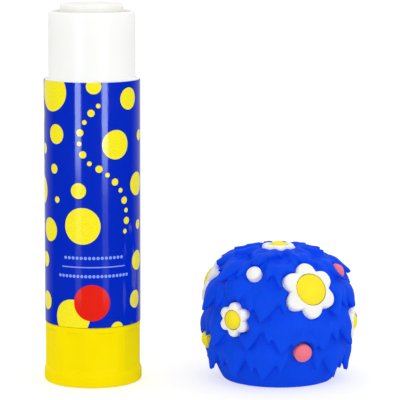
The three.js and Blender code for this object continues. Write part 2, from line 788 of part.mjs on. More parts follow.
// A dome for a flower's centre or for a dot.
function dome(place, radius, sides) {
  const shape = revolved(
    [
      [0, inlayFoot],
      [radius, inlayFoot],
      [radius, INLAY_RISE],
      [radius * DOME_SHOULDER, INLAY_RISE + INLAY_DOME * DOME_SHOULDER],
      [0, INLAY_RISE + INLAY_DOME],
    ],
    sides,
  );
  return solid(onCapSurface(shape, place));
}

// Soft cap: the tufted outside, hollowed for the liner and pocketed for its flowers and dots
function capShell() {
  const outside = linerOutside(INLAY_GAP);
  const [mouthRadius] = outside[0];
  const cavity = revolved([[0, -EMBED], [mouthRadius, -EMBED], ...outside], INNER_SIDES);
  const pockets = [...FLOWERS.map(flowerPocket), ...DOTS.map(dotPocket)];
  const hollow = solid(tuftedSkin()).subtract(solid(cavity));
  const whole = pockets.reduce((body, pocket) => body.subtract(pocket), hollow);
  return piece("cap_shell", whole, COLOURS.capBlue, 0.6);
}

// The cap as it stands on the table, mouth down
function cap() {
  const group = new THREE.Group();
  group.position.set(CAP_STANDS_AT, 0, 0);
  group.add(capShell(), capLiner());
  FLOWERS.forEach((flower, i) => {
    const centreRadius = flower.radius * (1 - PETAL_SHARE) - INLAY_GAP;
    const centre = dome(flower, centreRadius, CENTRE_SIDES);
    group.add(piece(`flower_petals_${i + 1}`, petals(flower), COLOURS.white, 0.5));
    group.add(piece(`flower_centre_${i + 1}`, centre, COLOURS.capYellow, 0.5));
  });
  DOTS.forEach((dot, i) => {
    const raised = dome(dot, dot.radius, DOT_SIDES);
    group.add(piece(`dot_${i + 1}`, raised, COLOURS[dot.colour], 0.5));
  });
  return group;
}

const glueStick = new THREE.Group();
glueStick.add(barrel(), label(), knob(), feedScrew(), carrier(), glue(), cap());

export default glueStick;
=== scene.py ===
"""Studio picture of a twist-up glue stick that stands open beside its soft tufted cap.

Lengths in this file are millimetres, and a mesh is scaled to metres when it is made. A turn is an
angle in degrees from the front (-Y) round through +X, and a share runs along the cap's side
outline from its crown (0) to its mouth (1).
"""

import logging
import math
import random
from bisect import bisect_left
from collections.abc import Callable, Iterable, Iterator, Sequence
from contextlib import contextmanager
from dataclasses import dataclass, field, replace
from enum import Enum
from functools import cache, reduce
from itertools import accumulate, pairwise

import bmesh
import bpy
from mathutils import Matrix, Vector
from mathutils.geometry import delaunay_2d_cdt

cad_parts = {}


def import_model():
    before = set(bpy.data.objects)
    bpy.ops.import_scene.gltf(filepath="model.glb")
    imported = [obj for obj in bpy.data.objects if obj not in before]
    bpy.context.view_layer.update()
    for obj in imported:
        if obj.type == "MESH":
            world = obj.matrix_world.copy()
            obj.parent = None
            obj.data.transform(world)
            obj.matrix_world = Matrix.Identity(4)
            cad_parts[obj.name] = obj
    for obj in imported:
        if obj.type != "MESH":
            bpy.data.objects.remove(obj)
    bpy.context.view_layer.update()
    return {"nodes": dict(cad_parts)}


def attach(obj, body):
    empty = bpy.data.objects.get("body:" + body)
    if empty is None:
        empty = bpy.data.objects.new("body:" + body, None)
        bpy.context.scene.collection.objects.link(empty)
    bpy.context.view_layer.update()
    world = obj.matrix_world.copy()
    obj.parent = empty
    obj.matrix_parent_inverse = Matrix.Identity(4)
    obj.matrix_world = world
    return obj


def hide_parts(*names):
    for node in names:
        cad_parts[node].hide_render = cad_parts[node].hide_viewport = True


log = logging.getLogger("glue_stick")

MM = 0.001
Point = tuple[float, float, float]
Pair = tuple[float, float]
Profile = list[Pair]
ByTurn = Callable[[float], float]
Colour = tuple[float, float, float, float]


class Body(Enum):
    """The moving bodies of the frame that pieces ride on."""

    BARREL = "barrel"
    KNOB = "knob"
    CARRIAGE = "carriage"
    CAP = "cap"


class Ink(Enum):
    """Inks of the printed label as sRGB bytes, in the order of its material slots."""

    BLUE = (0, 41, 196)
    YELLOW = (255, 241, 36)
    RED = (236, 34, 18)
    PALE_BLUE = (136, 164, 250)


class VinylColour(Enum):
    """Colours of the soft cap and its inlays, as sRGB bytes."""

    BLUE = (12, 75, 235)
    WHITE = (246, 246, 243)
    YELLOW = (252, 233, 48)
    PINK = (240, 122, 138)


def srgb(red: int, green: int, blue: int) -> Colour:
    """Turns a colour as it looks on screen into the linear values that shaders take.

    Args:
        red: Red byte, 0 to 255.
        green: Green byte, 0 to 255.
        blue: Blue byte, 0 to 255.

    Returns:
        Linear red, green, blue and an alpha of 1.
    """

    def linear(byte: int) -> float:
        """One channel, from its byte to its linear value."""
        value = byte / 255
        return value / 12.92 if value <= 0.04045 else ((value + 0.055) / 1.055) ** 2.4

    return linear(red), linear(green), linear(blue), 1.0


def on_ring(radius: float, turn: float, height: float) -> Point:
    """Places a point by its radius, its turn in degrees and its height."""
    angle = math.radians(turn)
    return radius * math.sin(angle), -radius * math.cos(angle), height


def arc(
    radius: float, height: float, size: float, start: float, end: float, steps: int = 5
) -> Profile:
    """Draws part of a circle in a side outline.

    Args:
        radius: Distance of the circle's centre from the axis.
        height: Height of the circle's centre.
        size: The circle's own radius.
        start: First angle in degrees, 0 outwards and 90 up.
        end: Last angle in degrees.
        steps: Number of straight pieces.

    Returns:
        The points, as radius and height.
    """
    angles = [math.radians(start + (end - start) * i / steps) for i in range(steps + 1)]
    return [(radius + size * math.cos(a), height + size * math.sin(a)) for a in angles]


def ring_of(columns: int, radius: float | ByTurn, height: float | ByTurn) -> list[Point]:
    """Places points evenly round the axis, from the front through +X.

    Args:
        columns: How many.
        radius: Their radius, or what gives it at a turn.
        height: Their height, or what gives it at a turn.

    Returns:
        The points.
    """
    turns = [360 * i / columns for i in range(columns)]
    radii, heights = (
        [value(turn) for turn in turns] if callable(value) else [value] * columns
        for value in (radius, height)
    )
    return [on_ring(*place) for place in zip(radii, turns, heights)]


def ribbed_ring(root: Pair, crest: Pair, height: float, ribs: int, steps: int) -> list[Point]:
    """Draws a ring with ribs that stand inwards, the first of them at +X.

    Args:
        root: The ring's radius, and the turn from a rib's middle to its root.
        crest: The ribs' radius, and the turn from a rib's middle to its crest's edge.
        height: The ring's height.
        ribs: Number of ribs.
        steps: Number of steps from rib to rib.

    Returns:
        The points.
    """
    pitch = 360 / ribs
    radius, start = root
    rib = [(radius, -start), (crest[0], -crest[1]), crest, root]
    gap = [(radius, start + (pitch - 2 * start) * step / steps) for step in range(1, steps)]
    return [
        on_ring(reach, 90 + number * pitch + turn, height)
        for number in range(ribs)
        for reach, turn in rib + gap
    ]


def add_object(name: str, data: bpy.types.ID) -> bpy.types.Object:
    """Puts a mesh, a light or a camera into the scene as a new object."""
    made = bpy.data.objects.new(name, data)
    bpy.context.scene.collection.objects.link(made)
    return made


@contextmanager
def opened(mesh: bpy.types.Mesh) -> Iterator[bmesh.types.BMesh]:
    """Opens a mesh for changes, and then writes them back.

    Args:
        mesh: The mesh.

    Yields:
        Its editable form.
    """
    shape = bmesh.new()
    shape.from_mesh(mesh)
    yield shape
    shape.to_mesh(mesh)
    shape.free()


def ease(value: float) -> float:
    """Smooth step: 0 below 0, 1 above 1, and level at both ends."""
    clamped = min(1.0, max(0.0, value))
    return clamped * clamped * (3 - 2 * clamped)


@dataclass
class Sketch:
    """Points and faces of a mesh while it is being drawn, in millimetres."""

    points: list[Point] = field(default_factory=list)
    faces: list[tuple[int, ...]] = field(default_factory=list)
    inks: list[int] = field(default_factory=list)

    def ring(self, points: Iterable[Point]) -> list[int]:
        """Adds points and returns their numbers."""
        first = len(self.points)
        self.points.extend(points)
        return list(range(first, len(self.points)))

    def face(self, *corners: int, ink: int = 0) -> None:
        """Adds one face with its corners anticlockwise from outside."""
        self.faces.append(corners)
        self.inks.append(ink)

    def band(self, lower: Sequence[int], upper: Sequence[int]) -> None:
        """Joins two rings of the same number of points, in their order up the outline."""
        for i in range(len(lower)):
            self.face(lower[i - 1], lower[i], upper[i], upper[i - 1])

    def close(self, ring: Sequence[int], centre: Point, facing_up: bool) -> None:
        """Closes a ring with a fan.

        Args:
            ring: The ring, turning from the front through +X.
            centre: The fan's middle point.
            facing_up: True for a lid on top and False for one below.
        """
        middle = self.ring([centre])[0]
        for i in range(len(ring)):
            pair = (ring[i - 1], ring[i])
            self.face(*(pair if facing_up else pair[::-1]), middle)

    @classmethod
    def lofted(cls, rings: Sequence[Sequence[Point]], lids: Sequence[Point] = ()) -> "Sketch":
        """Joins rings of points in order, going up the outside.

        Args:
            rings: The rings, each turning from the front through +X.
            lids: Middle points of the lids on the first and the last ring. Without them, the
                last ring is joined to the first.

        Returns:
            The closed form.
        """
        sketch = cls()
        numbered = [sketch.ring(ring) for ring in rings]
        for lower, upper in pairwise(numbered if lids else [*numbered, numbered[0]]):
            sketch.band(lower, upper)
        if lids:
            sketch.close(numbered[0], lids[0], facing_up=False)
            sketch.close(numbered[-1], lids[1], facing_up=True)
        return sketch

    @classmethod
    def turned(cls, profile: Profile, columns: int) -> "Sketch":
        """Turns a side outline, which goes from the axis up the outside and back to it, round."""
        lids = [(0, 0, height) for _, height in (profile[0], profile[-1])]
        return cls.lofted([ring_of(columns, *point) for point in profile[1:-1]], lids)

    def moved(self, place: Callable[[Point], Point]) -> "Sketch":
        """Returns a copy whose points have gone through a function."""
        return Sketch([place(point) for point in self.points], list(self.faces), list(self.inks))

    def add(self, other: "Sketch") -> None:
        """Takes in another sketch's points and faces.

        Args:
            other: The sketch that is taken in.
        """
        first = len(self.points)
        self.points.extend(other.points)
        self.faces.extend(tuple(first + corner for corner in face) for face in other.faces)
        self.inks.extend(other.inks)

    def mesh(self, name: str) -> bpy.types.Mesh:
        """Makes the Blender mesh.

        Args:
            name: The mesh's name.

        Returns:
            The mesh, in metres.
        """
        mesh = bpy.data.meshes.new(name)
        mesh.from_pydata([tuple(c * MM for c in point) for point in self.points], [], self.faces)
        mesh.polygons.foreach_set("material_index", self.inks)
        mesh.update()
        return mesh


def place_piece(
    name: str,
    drawn: Sketch | bpy.types.Mesh,
    finishes: Sequence[bpy.types.Material],
    body: Body,
    replaced: str,
    crease: float = 32.0,
) -> None:
    """Puts a finished piece into the scene on its body.

    Args:
        name: Name of the piece.
        drawn: Its sketch in millimetres, or its mesh in metres.
        finishes: Materials in the order of the mesh's material numbers.
        body: The body that it rides on.
        replaced: The frame's node that it stands for.
        crease: Edges sharper than this, in degrees, stay crisp. 0 leaves the mesh's shading.
    """
    mesh = drawn.mesh(name) if isinstance(drawn, Sketch) else drawn
    piece = add_object(name, mesh)
    for material in finishes:
        mesh.materials.append(material)
    if crease:
        mesh.shade_smooth()
        mesh.set_sharp_from_angle(angle=math.radians(crease))
    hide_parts(replaced)
    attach(piece, body.value)
    log.info("%s: %d faces on %s", name, len(mesh.polygons), body.value)


@dataclass(frozen=True)
class Grain:
    """A noise: the width of its lumps, its number of finer layers and its scale upwards."""

    size: float
    detail: float
    upwards: float = 1.0


@dataclass
class NodeBench:
    """Lays out the shader nodes of one material or world."""

    tree: bpy.types.NodeTree

    @classmethod
    def over(cls, owner: bpy.types.Material | bpy.types.World) -> "NodeBench":
        """Clears a material or a world for new nodes."""
        owner.use_nodes = True
        owner.node_tree.nodes.clear()
        return cls(owner.node_tree)

    def node(self, kind: str, *fed: object, operation: str = "", **named: object) -> bpy.types.Node:
        """Adds a node.

        Args:
            kind: Its type, without the prefix that all shader nodes share.
            *fed: Values or sockets for its first inputs, in their order.
            operation: What it works out, where there is a choice.
            **named: Values or sockets by the input's name, with underscores for spaces.

        Returns:
            The new node.
        """
        made = self.tree.nodes.new(f"ShaderNode{kind}")
        if operation:
            made.operation = operation
        keyed = ((key.replace("_", " "), value) for key, value in named.items())
        for key, value in (*enumerate(fed), *keyed):
            if isinstance(value, bpy.types.NodeSocket):
                self.tree.links.new(value, made.inputs[key])
            else:
                made.inputs[key].default_value = value
        return made

    def noise(self, grain: Grain) -> bpy.types.NodeSocket:
        """Adds a noise in object space.

        Args:
            grain: The noise.

        Returns:
            Its value, about 0.5 on average.
        """
        place = self.node("TexCoord").outputs["Object"]
        where = self.node("Mapping", place, Scale=(1, 1, grain.upwards)).outputs[0]
        scale = 1 / (grain.size * MM)
        return self.node("TexNoise", where, Scale=scale, Detail=grain.detail).outputs["Fac"]

    def between(self, grain: Grain, low: float, high: float) -> bpy.types.NodeSocket:
        """Spreads a noise's middle range over low to high."""
        ends = {"From_Min": 0.3, "From_Max": 0.7, "To_Min": low, "To_Max": high}
        return self.node("MapRange", self.noise(grain), **ends).outputs[0]

    def clouded(self, grain: Grain, colour: Colour, tints: Pair) -> bpy.types.NodeSocket:
        """Varies a colour by a noise's middle range.

        Args:
            grain: The noise.
            colour: The colour.
            tints: The factors on it at the two ends of the range.

        Returns:
            The varied colour.
        """
        ramp = self.node("ValToRGB", self.noise(grain))
        for stop, place, tint in zip(ramp.color_ramp.elements, (0.32, 0.68), tints):
            stop.position = place
            stop.color = (*(channel * tint for channel in colour[:3]), 1.0)
        return ramp.outputs["Color"]

    def relief(self, grain: Grain, depth: float, **under: object) -> bpy.types.NodeSocket:
        """Makes relief of a noise, so many millimetres deep, over another one's Normal."""
        given = {"Height": self.noise(grain), "Strength": 1.0, "Distance": depth * MM}
        return self.node("Bump", **given, **under).outputs[0]


@dataclass(frozen=True)
class Finish:
    """A finish with clouds in its colour, uneven gloss, coarse and fine relief, and some glow."""

    name: str
    colour: tuple[int, int, int]
    roughness: float = 0.3
    specular: float = 0.35
    glow: float = 0.0
    glow_depth: float = 1.0
    glow_reach: Point = (1.0, 0.8, 0.65)
    tints: Pair = (0.97, 1.015)
    clouds: Grain = Grain(9.0, 3.0, 0.45)
    haze: Grain = Grain(3.2, 4.0)
    haze_range: Pair = (0.85, 1.2)
    coarse: Grain = Grain(1.7, 1.0)
    fine: Grain = Grain(0.28, 2.0)
    depths: Pair = (0.012, 0.0024)

    def material(self) -> bpy.types.Material:
        """Builds the material."""
        material = bpy.data.materials.new(self.name)
        bench = NodeBench.over(material)
        low, high = (factor * self.roughness for factor in self.haze_range)
        under = bench.relief(self.coarse, self.depths[0])
        surface = bench.node(
            "BsdfPrincipled",
            Base_Color=bench.clouded(self.clouds, srgb(*self.colour), self.tints),
            Roughness=bench.between(self.haze, low, high),
            Normal=bench.relief(self.fine, self.depths[1], Normal=under),
            Specular_IOR_Level=self.specular,
            Subsurface_Weight=self.glow,
            Subsurface_Radius=self.glow_reach,
            Subsurface_Scale=self.glow_depth * MM,
        )
        bench.node("OutputMaterial", surface.outputs[0])
        return material


@dataclass(frozen=True)
class MouldedPlastic(Finish):
    """Injection-moulded plastic with a faint orange peel and flow marks."""


@dataclass(frozen=True)
class PrintedFilm(Finish):
    """Glossy printed film, stretched a little unevenly over the barrel."""

    roughness: float = 0.085
    specular: float = 0.5
    tints: Pair = (0.93, 1.04)
    clouds: Grain = Grain(0.35, 2.0)
    haze: Grain = Grain(5.0, 6.0, 0.6)
    haze_range: Pair = (1.0, 1.5)
    coarse: Grain = Grain(14.0, 0.0, 0.35)
    fine: Grain = Grain(0.5, 1.0)
    depths: Pair = (0.014, 0.0012)


@dataclass(frozen=True)
class SoftVinyl(Finish):
    """Matte soft vinyl with a fine stone-like skin that lets a little light in."""

    roughness: float = 0.52
    specular: float = 0.03
    glow: float = 0.1
    glow_depth: float = 0.6
    glow_reach: Point = (0.9, 0.7, 1.0)
    tints: Pair = (0.95, 1.05)
    clouds: Grain = Grain(7.0, 3.0)
    haze: Grain = Grain(2.5, 5.0)
    haze_range: Pair = (0.9, 1.12)
    coarse: Grain = Grain(2.2, 1.0)
    fine: Grain = Grain(0.3, 2.0)
    depths: Pair = (0.03, 0.007)


@dataclass(frozen=True)
class CastGlue(Finish):
    """White glue cast in its tube: waxy, a little see-through, with faint lines up its side."""

    roughness: float = 0.4
    glow: float = 0.9
    glow_depth: float = 4.5
    glow_reach: Point = (1.0, 0.85, 0.7)
    tints: Pair = (0.965, 1.015)
    clouds: Grain = Grain(4.0, 4.0)
    haze: Grain = Grain(1.6, 5.0)
    haze_range: Pair = (0.75, 1.15)
    coarse: Grain = Grain(0.7, 2.0, 0.04)
    fine: Grain = Grain(0.45, 3.0)
    depths: Pair = (0.02, 0.014)


@cache
def vinyl(colour: VinylColour) -> bpy.types.Material:
    """The soft vinyl of one colour, made once."""
    return SoftVinyl(f"vinyl_{colour.name.lower()}", colour.value).material()


@dataclass
class StudioStage:
    """White floor and background, a pale dome of light, and two strip lights on the floor."""

    columns: int = 96
    floor_at: float = -0.02
    floor_radius: float = 4000.0
    floor_shade: tuple[int, int, int] = (190, 190, 187)
    floor_glow: float = 0.4
    floor_lift: float = 0.175
    fill_level: float = 0.77
    fill_above: float = 0.28
    fill_before: float = 0.84
    fill_behind: float = 0.8
    fill_turn: float = 12.0
    card_at: float = 0.4
    card_reach: float = 2500.0
    card_turns: Pair = (105.0, 168.0)
    card_clear: float = 0.6
    card_shade: tuple[int, int, int] = (16, 16, 18)
    strip_distance: float = 440.0
    strip_width: float = 106.0
    strip_height: float = 160.0
    strip_turns: Pair = (-34.6, 28.6)
    strip_radiance: float = 7.5
    strip_colour: Point = (0.88, 1.05, 1.14)
    apron_at: float = 0.8
    apron_near: float = 130.0
    apron_radiance: float = 0.75

    def build(self) -> None:
        """Sets up the floor, the dark card, the lights and the world."""
        self.floor()
        self.dark_card()
        for number, turn in enumerate(self.strip_turns, 1):
            self.strip(f"strip_{number}", turn)
            self.apron(f"apron_{number}", turn)
        self.world()

    def seen(self, bench: NodeBench) -> bpy.types.NodeSocket:
        """Adds a value that is 1 where the background is seen, directly or in gloss or glass."""
        path = bench.node("LightPath").outputs
        rays = (path[f"Is {kind} Ray"] for kind in ("Camera", "Glossy", "Transmission"))
        return reduce(lambda a, b: bench.node("Math", a, b, operation="MAXIMUM").outputs[0], rays)

    def sheet(self, name: str, edge: Iterable[Point], middle: Point, for_gloss: bool) -> NodeBench:
        """Lays down a flat sheet.

        Args:
            name: Its name.
            edge: The points of its edge, turning from the front through +X.
            middle: Its middle point.
            for_gloss: True where only glossy rays see it.

        Returns:
            The bench for its material, without nodes yet.
        """
        sketch = Sketch()
        sketch.close(sketch.ring(edge), middle, facing_up=True)
        sheet = add_object(name, sketch.mesh(name))
        material = bpy.data.materials.new(name)
        sheet.data.materials.append(material)
        for ray in ("camera", "diffuse", "shadow", "transmission"):
            setattr(sheet, f"visible_{ray}", not for_gloss)
        return NodeBench.over(material)

    def floor(self) -> None:
        """Makes the floor, a white sheet lit from below, lifted to white where it is seen."""
        edge = ring_of(self.columns, self.floor_radius, self.floor_at)
        bench = self.sheet("floor", edge, (0, 0, self.floor_at), for_gloss=False)
        ends = (self.floor_lift, self.floor_glow)
        level = bench.node("Math", self.seen(bench), *ends, operation="MULTIPLY_ADD")
        matte = bench.node("BsdfDiffuse", srgb(*self.floor_shade))
        lift = bench.node("Emission", Strength=level.outputs[0])
        both = bench.node("AddShader", matte.outputs[0], lift.outputs[0])
        bench.node("OutputMaterial", both.outputs[0])

    def dark_card(self) -> None:
        """Lays a dark card round the front that only gloss sees, to keep the colours deep."""
        edge = ring_of(self.columns, self.card_reach, self.card_at)
        bench = self.sheet("dark_card", edge, (0, 0, self.card_at), for_gloss=True)
        place = bench.node("TexCoord").outputs["Object"]
        way = bench.node("VectorMath", place, operation="NORMALIZE").outputs[0]
        back = bench.node("SeparateXYZ", way).outputs["Y"]
        start, end = (-math.cos(math.radians(turn)) for turn in self.card_turns)
        ends = {"From_Min": start, "From_Max": end, "To_Max": self.card_clear}
        fade = bench.node("MapRange", back, **ends).outputs[0]
        matte = bench.node("BsdfDiffuse", srgb(*self.card_shade)).outputs[0]
        clear = bench.node("BsdfTransparent").outputs[0]
        bench.node("OutputMaterial", bench.node("MixShader", fade, matte, clear).outputs[0])

    def apron(self, name: str, turn: float) -> None:
        """Lays the light that a strip throws on the floor before it, which only gloss sees.

        Args:
            name: Its name.
            turn: The strip's turn round the stick.
        """
        half = math.degrees(math.atan(self.strip_width / 2 / self.strip_distance))
        near, far = self.apron_near, self.strip_distance
        corners = ((near, -half), (near, half), (far, half), (far, -half))
        edge = [on_ring(reach, turn + side, self.apron_at) for reach, side in corners]
        middle = on_ring((near + far) / 2, turn, self.apron_at)
        bench = self.sheet(name, edge, middle, for_gloss=True)
        glow = bench.node("Emission", (*self.strip_colour, 1.0), self.apron_radiance)
        bench.node("OutputMaterial", glow.outputs[0])

    def strip(self, name: str, turn: float) -> None:
        """Stands one strip light on the floor, facing the stick.

        Args:
            name: Its name.
            turn: Its turn round the stick.
        """
        lamp = bpy.data.lights.new(name, "AREA")
        lamp.shape = "RECTANGLE"
        lamp.size = self.strip_width * MM
        lamp.size_y = self.strip_height * MM
        lamp.energy = self.strip_radiance * math.pi * lamp.size * lamp.size_y
        lamp.color = self.strip_colour
        holder = add_object(name, lamp)
        place = on_ring(self.strip_distance, turn, self.strip_height / 2 + 1)
        holder.location = Vector(place) * MM
        holder.rotation_euler = (math.radians(90), 0, math.radians(turn))
        holder.visible_diffuse = False

    def world(self) -> None:
        """Makes the world: fill from above, before and behind, and white where it is seen."""
        world = bpy.data.worlds.new("white_room")
        bpy.context.scene.world = world
        bench = NodeBench.over(world)
        way = bench.node("TexCoord").outputs["Generated"]
        height = bench.node("SeparateXYZ", way).outputs["Z"]
        top = self.fill_level + self.fill_above
        fill = bench.node("MapRange", height, To_Min=self.fill_level, To_Max=top).outputs[0]
        front = on_ring(1.0, self.fill_turn, 0.0)
        facing = bench.node("VectorMath", way, front, operation="DOT_PRODUCT").outputs["Value"]
        for limit, level in ((1.0, self.fill_before), (-1.0, self.fill_behind)):
            part = bench.node("MapRange", facing, From_Max=limit, To_Max=level).outputs[0]
            fill = bench.node("Math", fill, part).outputs[0]
        strength = bench.node("MapRange", self.seen(bench), To_Min=fill, To_Max=1.0).outputs[0]
        background = bench.node("Background", Strength=strength)
        bench.node("OutputWorld", background.outputs[0])


@dataclass
class PhotoCamera:
    """The camera at the photograph's place, with a long lens."""

    location: Point = (-13.0, -596.7, 135.6)
    pitch_down: float = 8.355
    heading: float = -3.951
    roll: float = -0.139
    lens: float = 205.64

    def build(self) -> None:
        """Makes the camera and sets it as the scene's."""
        camera = bpy.data.cameras.new("photo_camera")
        camera.lens = self.lens
        camera.sensor_width = 36
        camera.clip_start = 0.02
        camera.clip_end = 20
        holder = add_object("photo_camera", camera)
        holder.location = Vector(self.location) * MM
        turns = (90 - self.pitch_down, self.roll, self.heading)
        holder.rotation_euler = [math.radians(turn) for turn in turns]
        bpy.context.scene.camera = holder


@dataclass
class Barrel:
    """White moulded tube with a stepped neck and six guide ribs down its bore."""

    foot: float = 16.1
    foot_chamfer: float = 0.4
    shoulder: float = 80.4
    rim: float = 97.9
    body_radius: float = 12.45
    neck_radius: float = 11.4
    body_bore: float = 11.25
    neck_bore: float = 10.1
    rim_rounding: float = 0.6
    lip_rounding: float = 0.35
    shoulder_rounding: float = 0.3
    neck_fillet: float = 0.25
    rib_radius: float = 8.6
    rib_half_width: float = 0.5
    rib_foot: float = 31.6
    rib_chamfer: float = 0.25
    rib_top: float = 94.7
    ribs: int = 6
    columns_per_rib: int = 28
    finish: MouldedPlastic = MouldedPlastic(
        "barrel_plastic",
        (253, 252, 249),
        roughness=0.34,
        specular=0.25,
        glow=0.35,
        glow_depth=1.6,
        tints=(0.992, 1.004),
        depths=(0.004, 0.0008),
    )

    def outside(self) -> Profile:
        """Side outline of the outside, from the foot up to the top of the rim."""
        body, neck, shoulder = self.body_radius, self.neck_radius, self.shoulder
        rim, edge, fillet = self.rim_rounding, self.shoulder_rounding, self.neck_fillet
        return [
            (body, self.foot),
            (body, 0.5 * (self.foot + shoulder)),
            *arc(body - edge, shoulder - edge, edge, 0, 90, 4),
            *arc(neck + fillet, shoulder + fillet, fillet, 270, 180, 3),
            (neck, 0.5 * (shoulder + self.rim)),
            *arc(neck - rim, self.rim - rim, rim, 0, 90, 7),
        ]

    def inside(self) -> list[Point]:
        """Side outline of the bore, from the rim down, as radius, height and a rib's share."""
        body, neck, lip = self.body_bore, self.neck_bore, self.lip_rounding
        step_top = self.shoulder - (self.neck_radius - neck)
        return [
            *((*point, 0.0) for point in arc(neck + lip, self.rim - lip, lip, 90, 180, 4)),
            (neck, self.rib_top, 0.0),
            (neck, self.rib_top - (neck - self.rib_radius), 1.0),
            (neck, step_top, 1.0),
            (body, step_top - (body - neck), 1.0),
            (body, self.rib_foot, 1.0),
            (body, self.rib_foot - self.rib_chamfer, 0.0),
            (body, self.foot + self.foot_chamfer, 0.0),
            (body + self.foot_chamfer, self.foot, 0.0),
        ]

    def ring(self, radius: float, height: float, rib: float = 0.0) -> list[Point]:
        """Draws one ring with room for the ribs.

        Args:
            radius: The ring's own radius.
            height: Its height.
            rib: 0 without ribs and 1 with whole ones.

        Returns:
            The ring's points.
        """
        crest = radius + (self.rib_radius - radius) * rib
        root_turn = math.degrees(math.asin(self.rib_half_width / radius))
        crest_turn = math.degrees(math.asin(self.rib_half_width * (0.5 + 0.5 * rib) / crest))
        ends = ((radius, root_turn), (crest, crest_turn))
        return ribbed_ring(*ends, height, self.ribs, self.columns_per_rib)

    def build(self) -> None:
        """Builds the tube."""
        sketch = Sketch.lofted([self.ring(*step) for step in (*self.outside(), *self.inside())])
        finishes = [self.finish.material()]
        place_piece("barrel_tube", sketch, finishes, Body.BARREL, "barrel")


@dataclass(frozen=True)
class PrintedShape:
    """One printed shape: its outline in millimetres round the film and up, and its ink."""

    outline: tuple[Pair, ...]
    ink: Ink


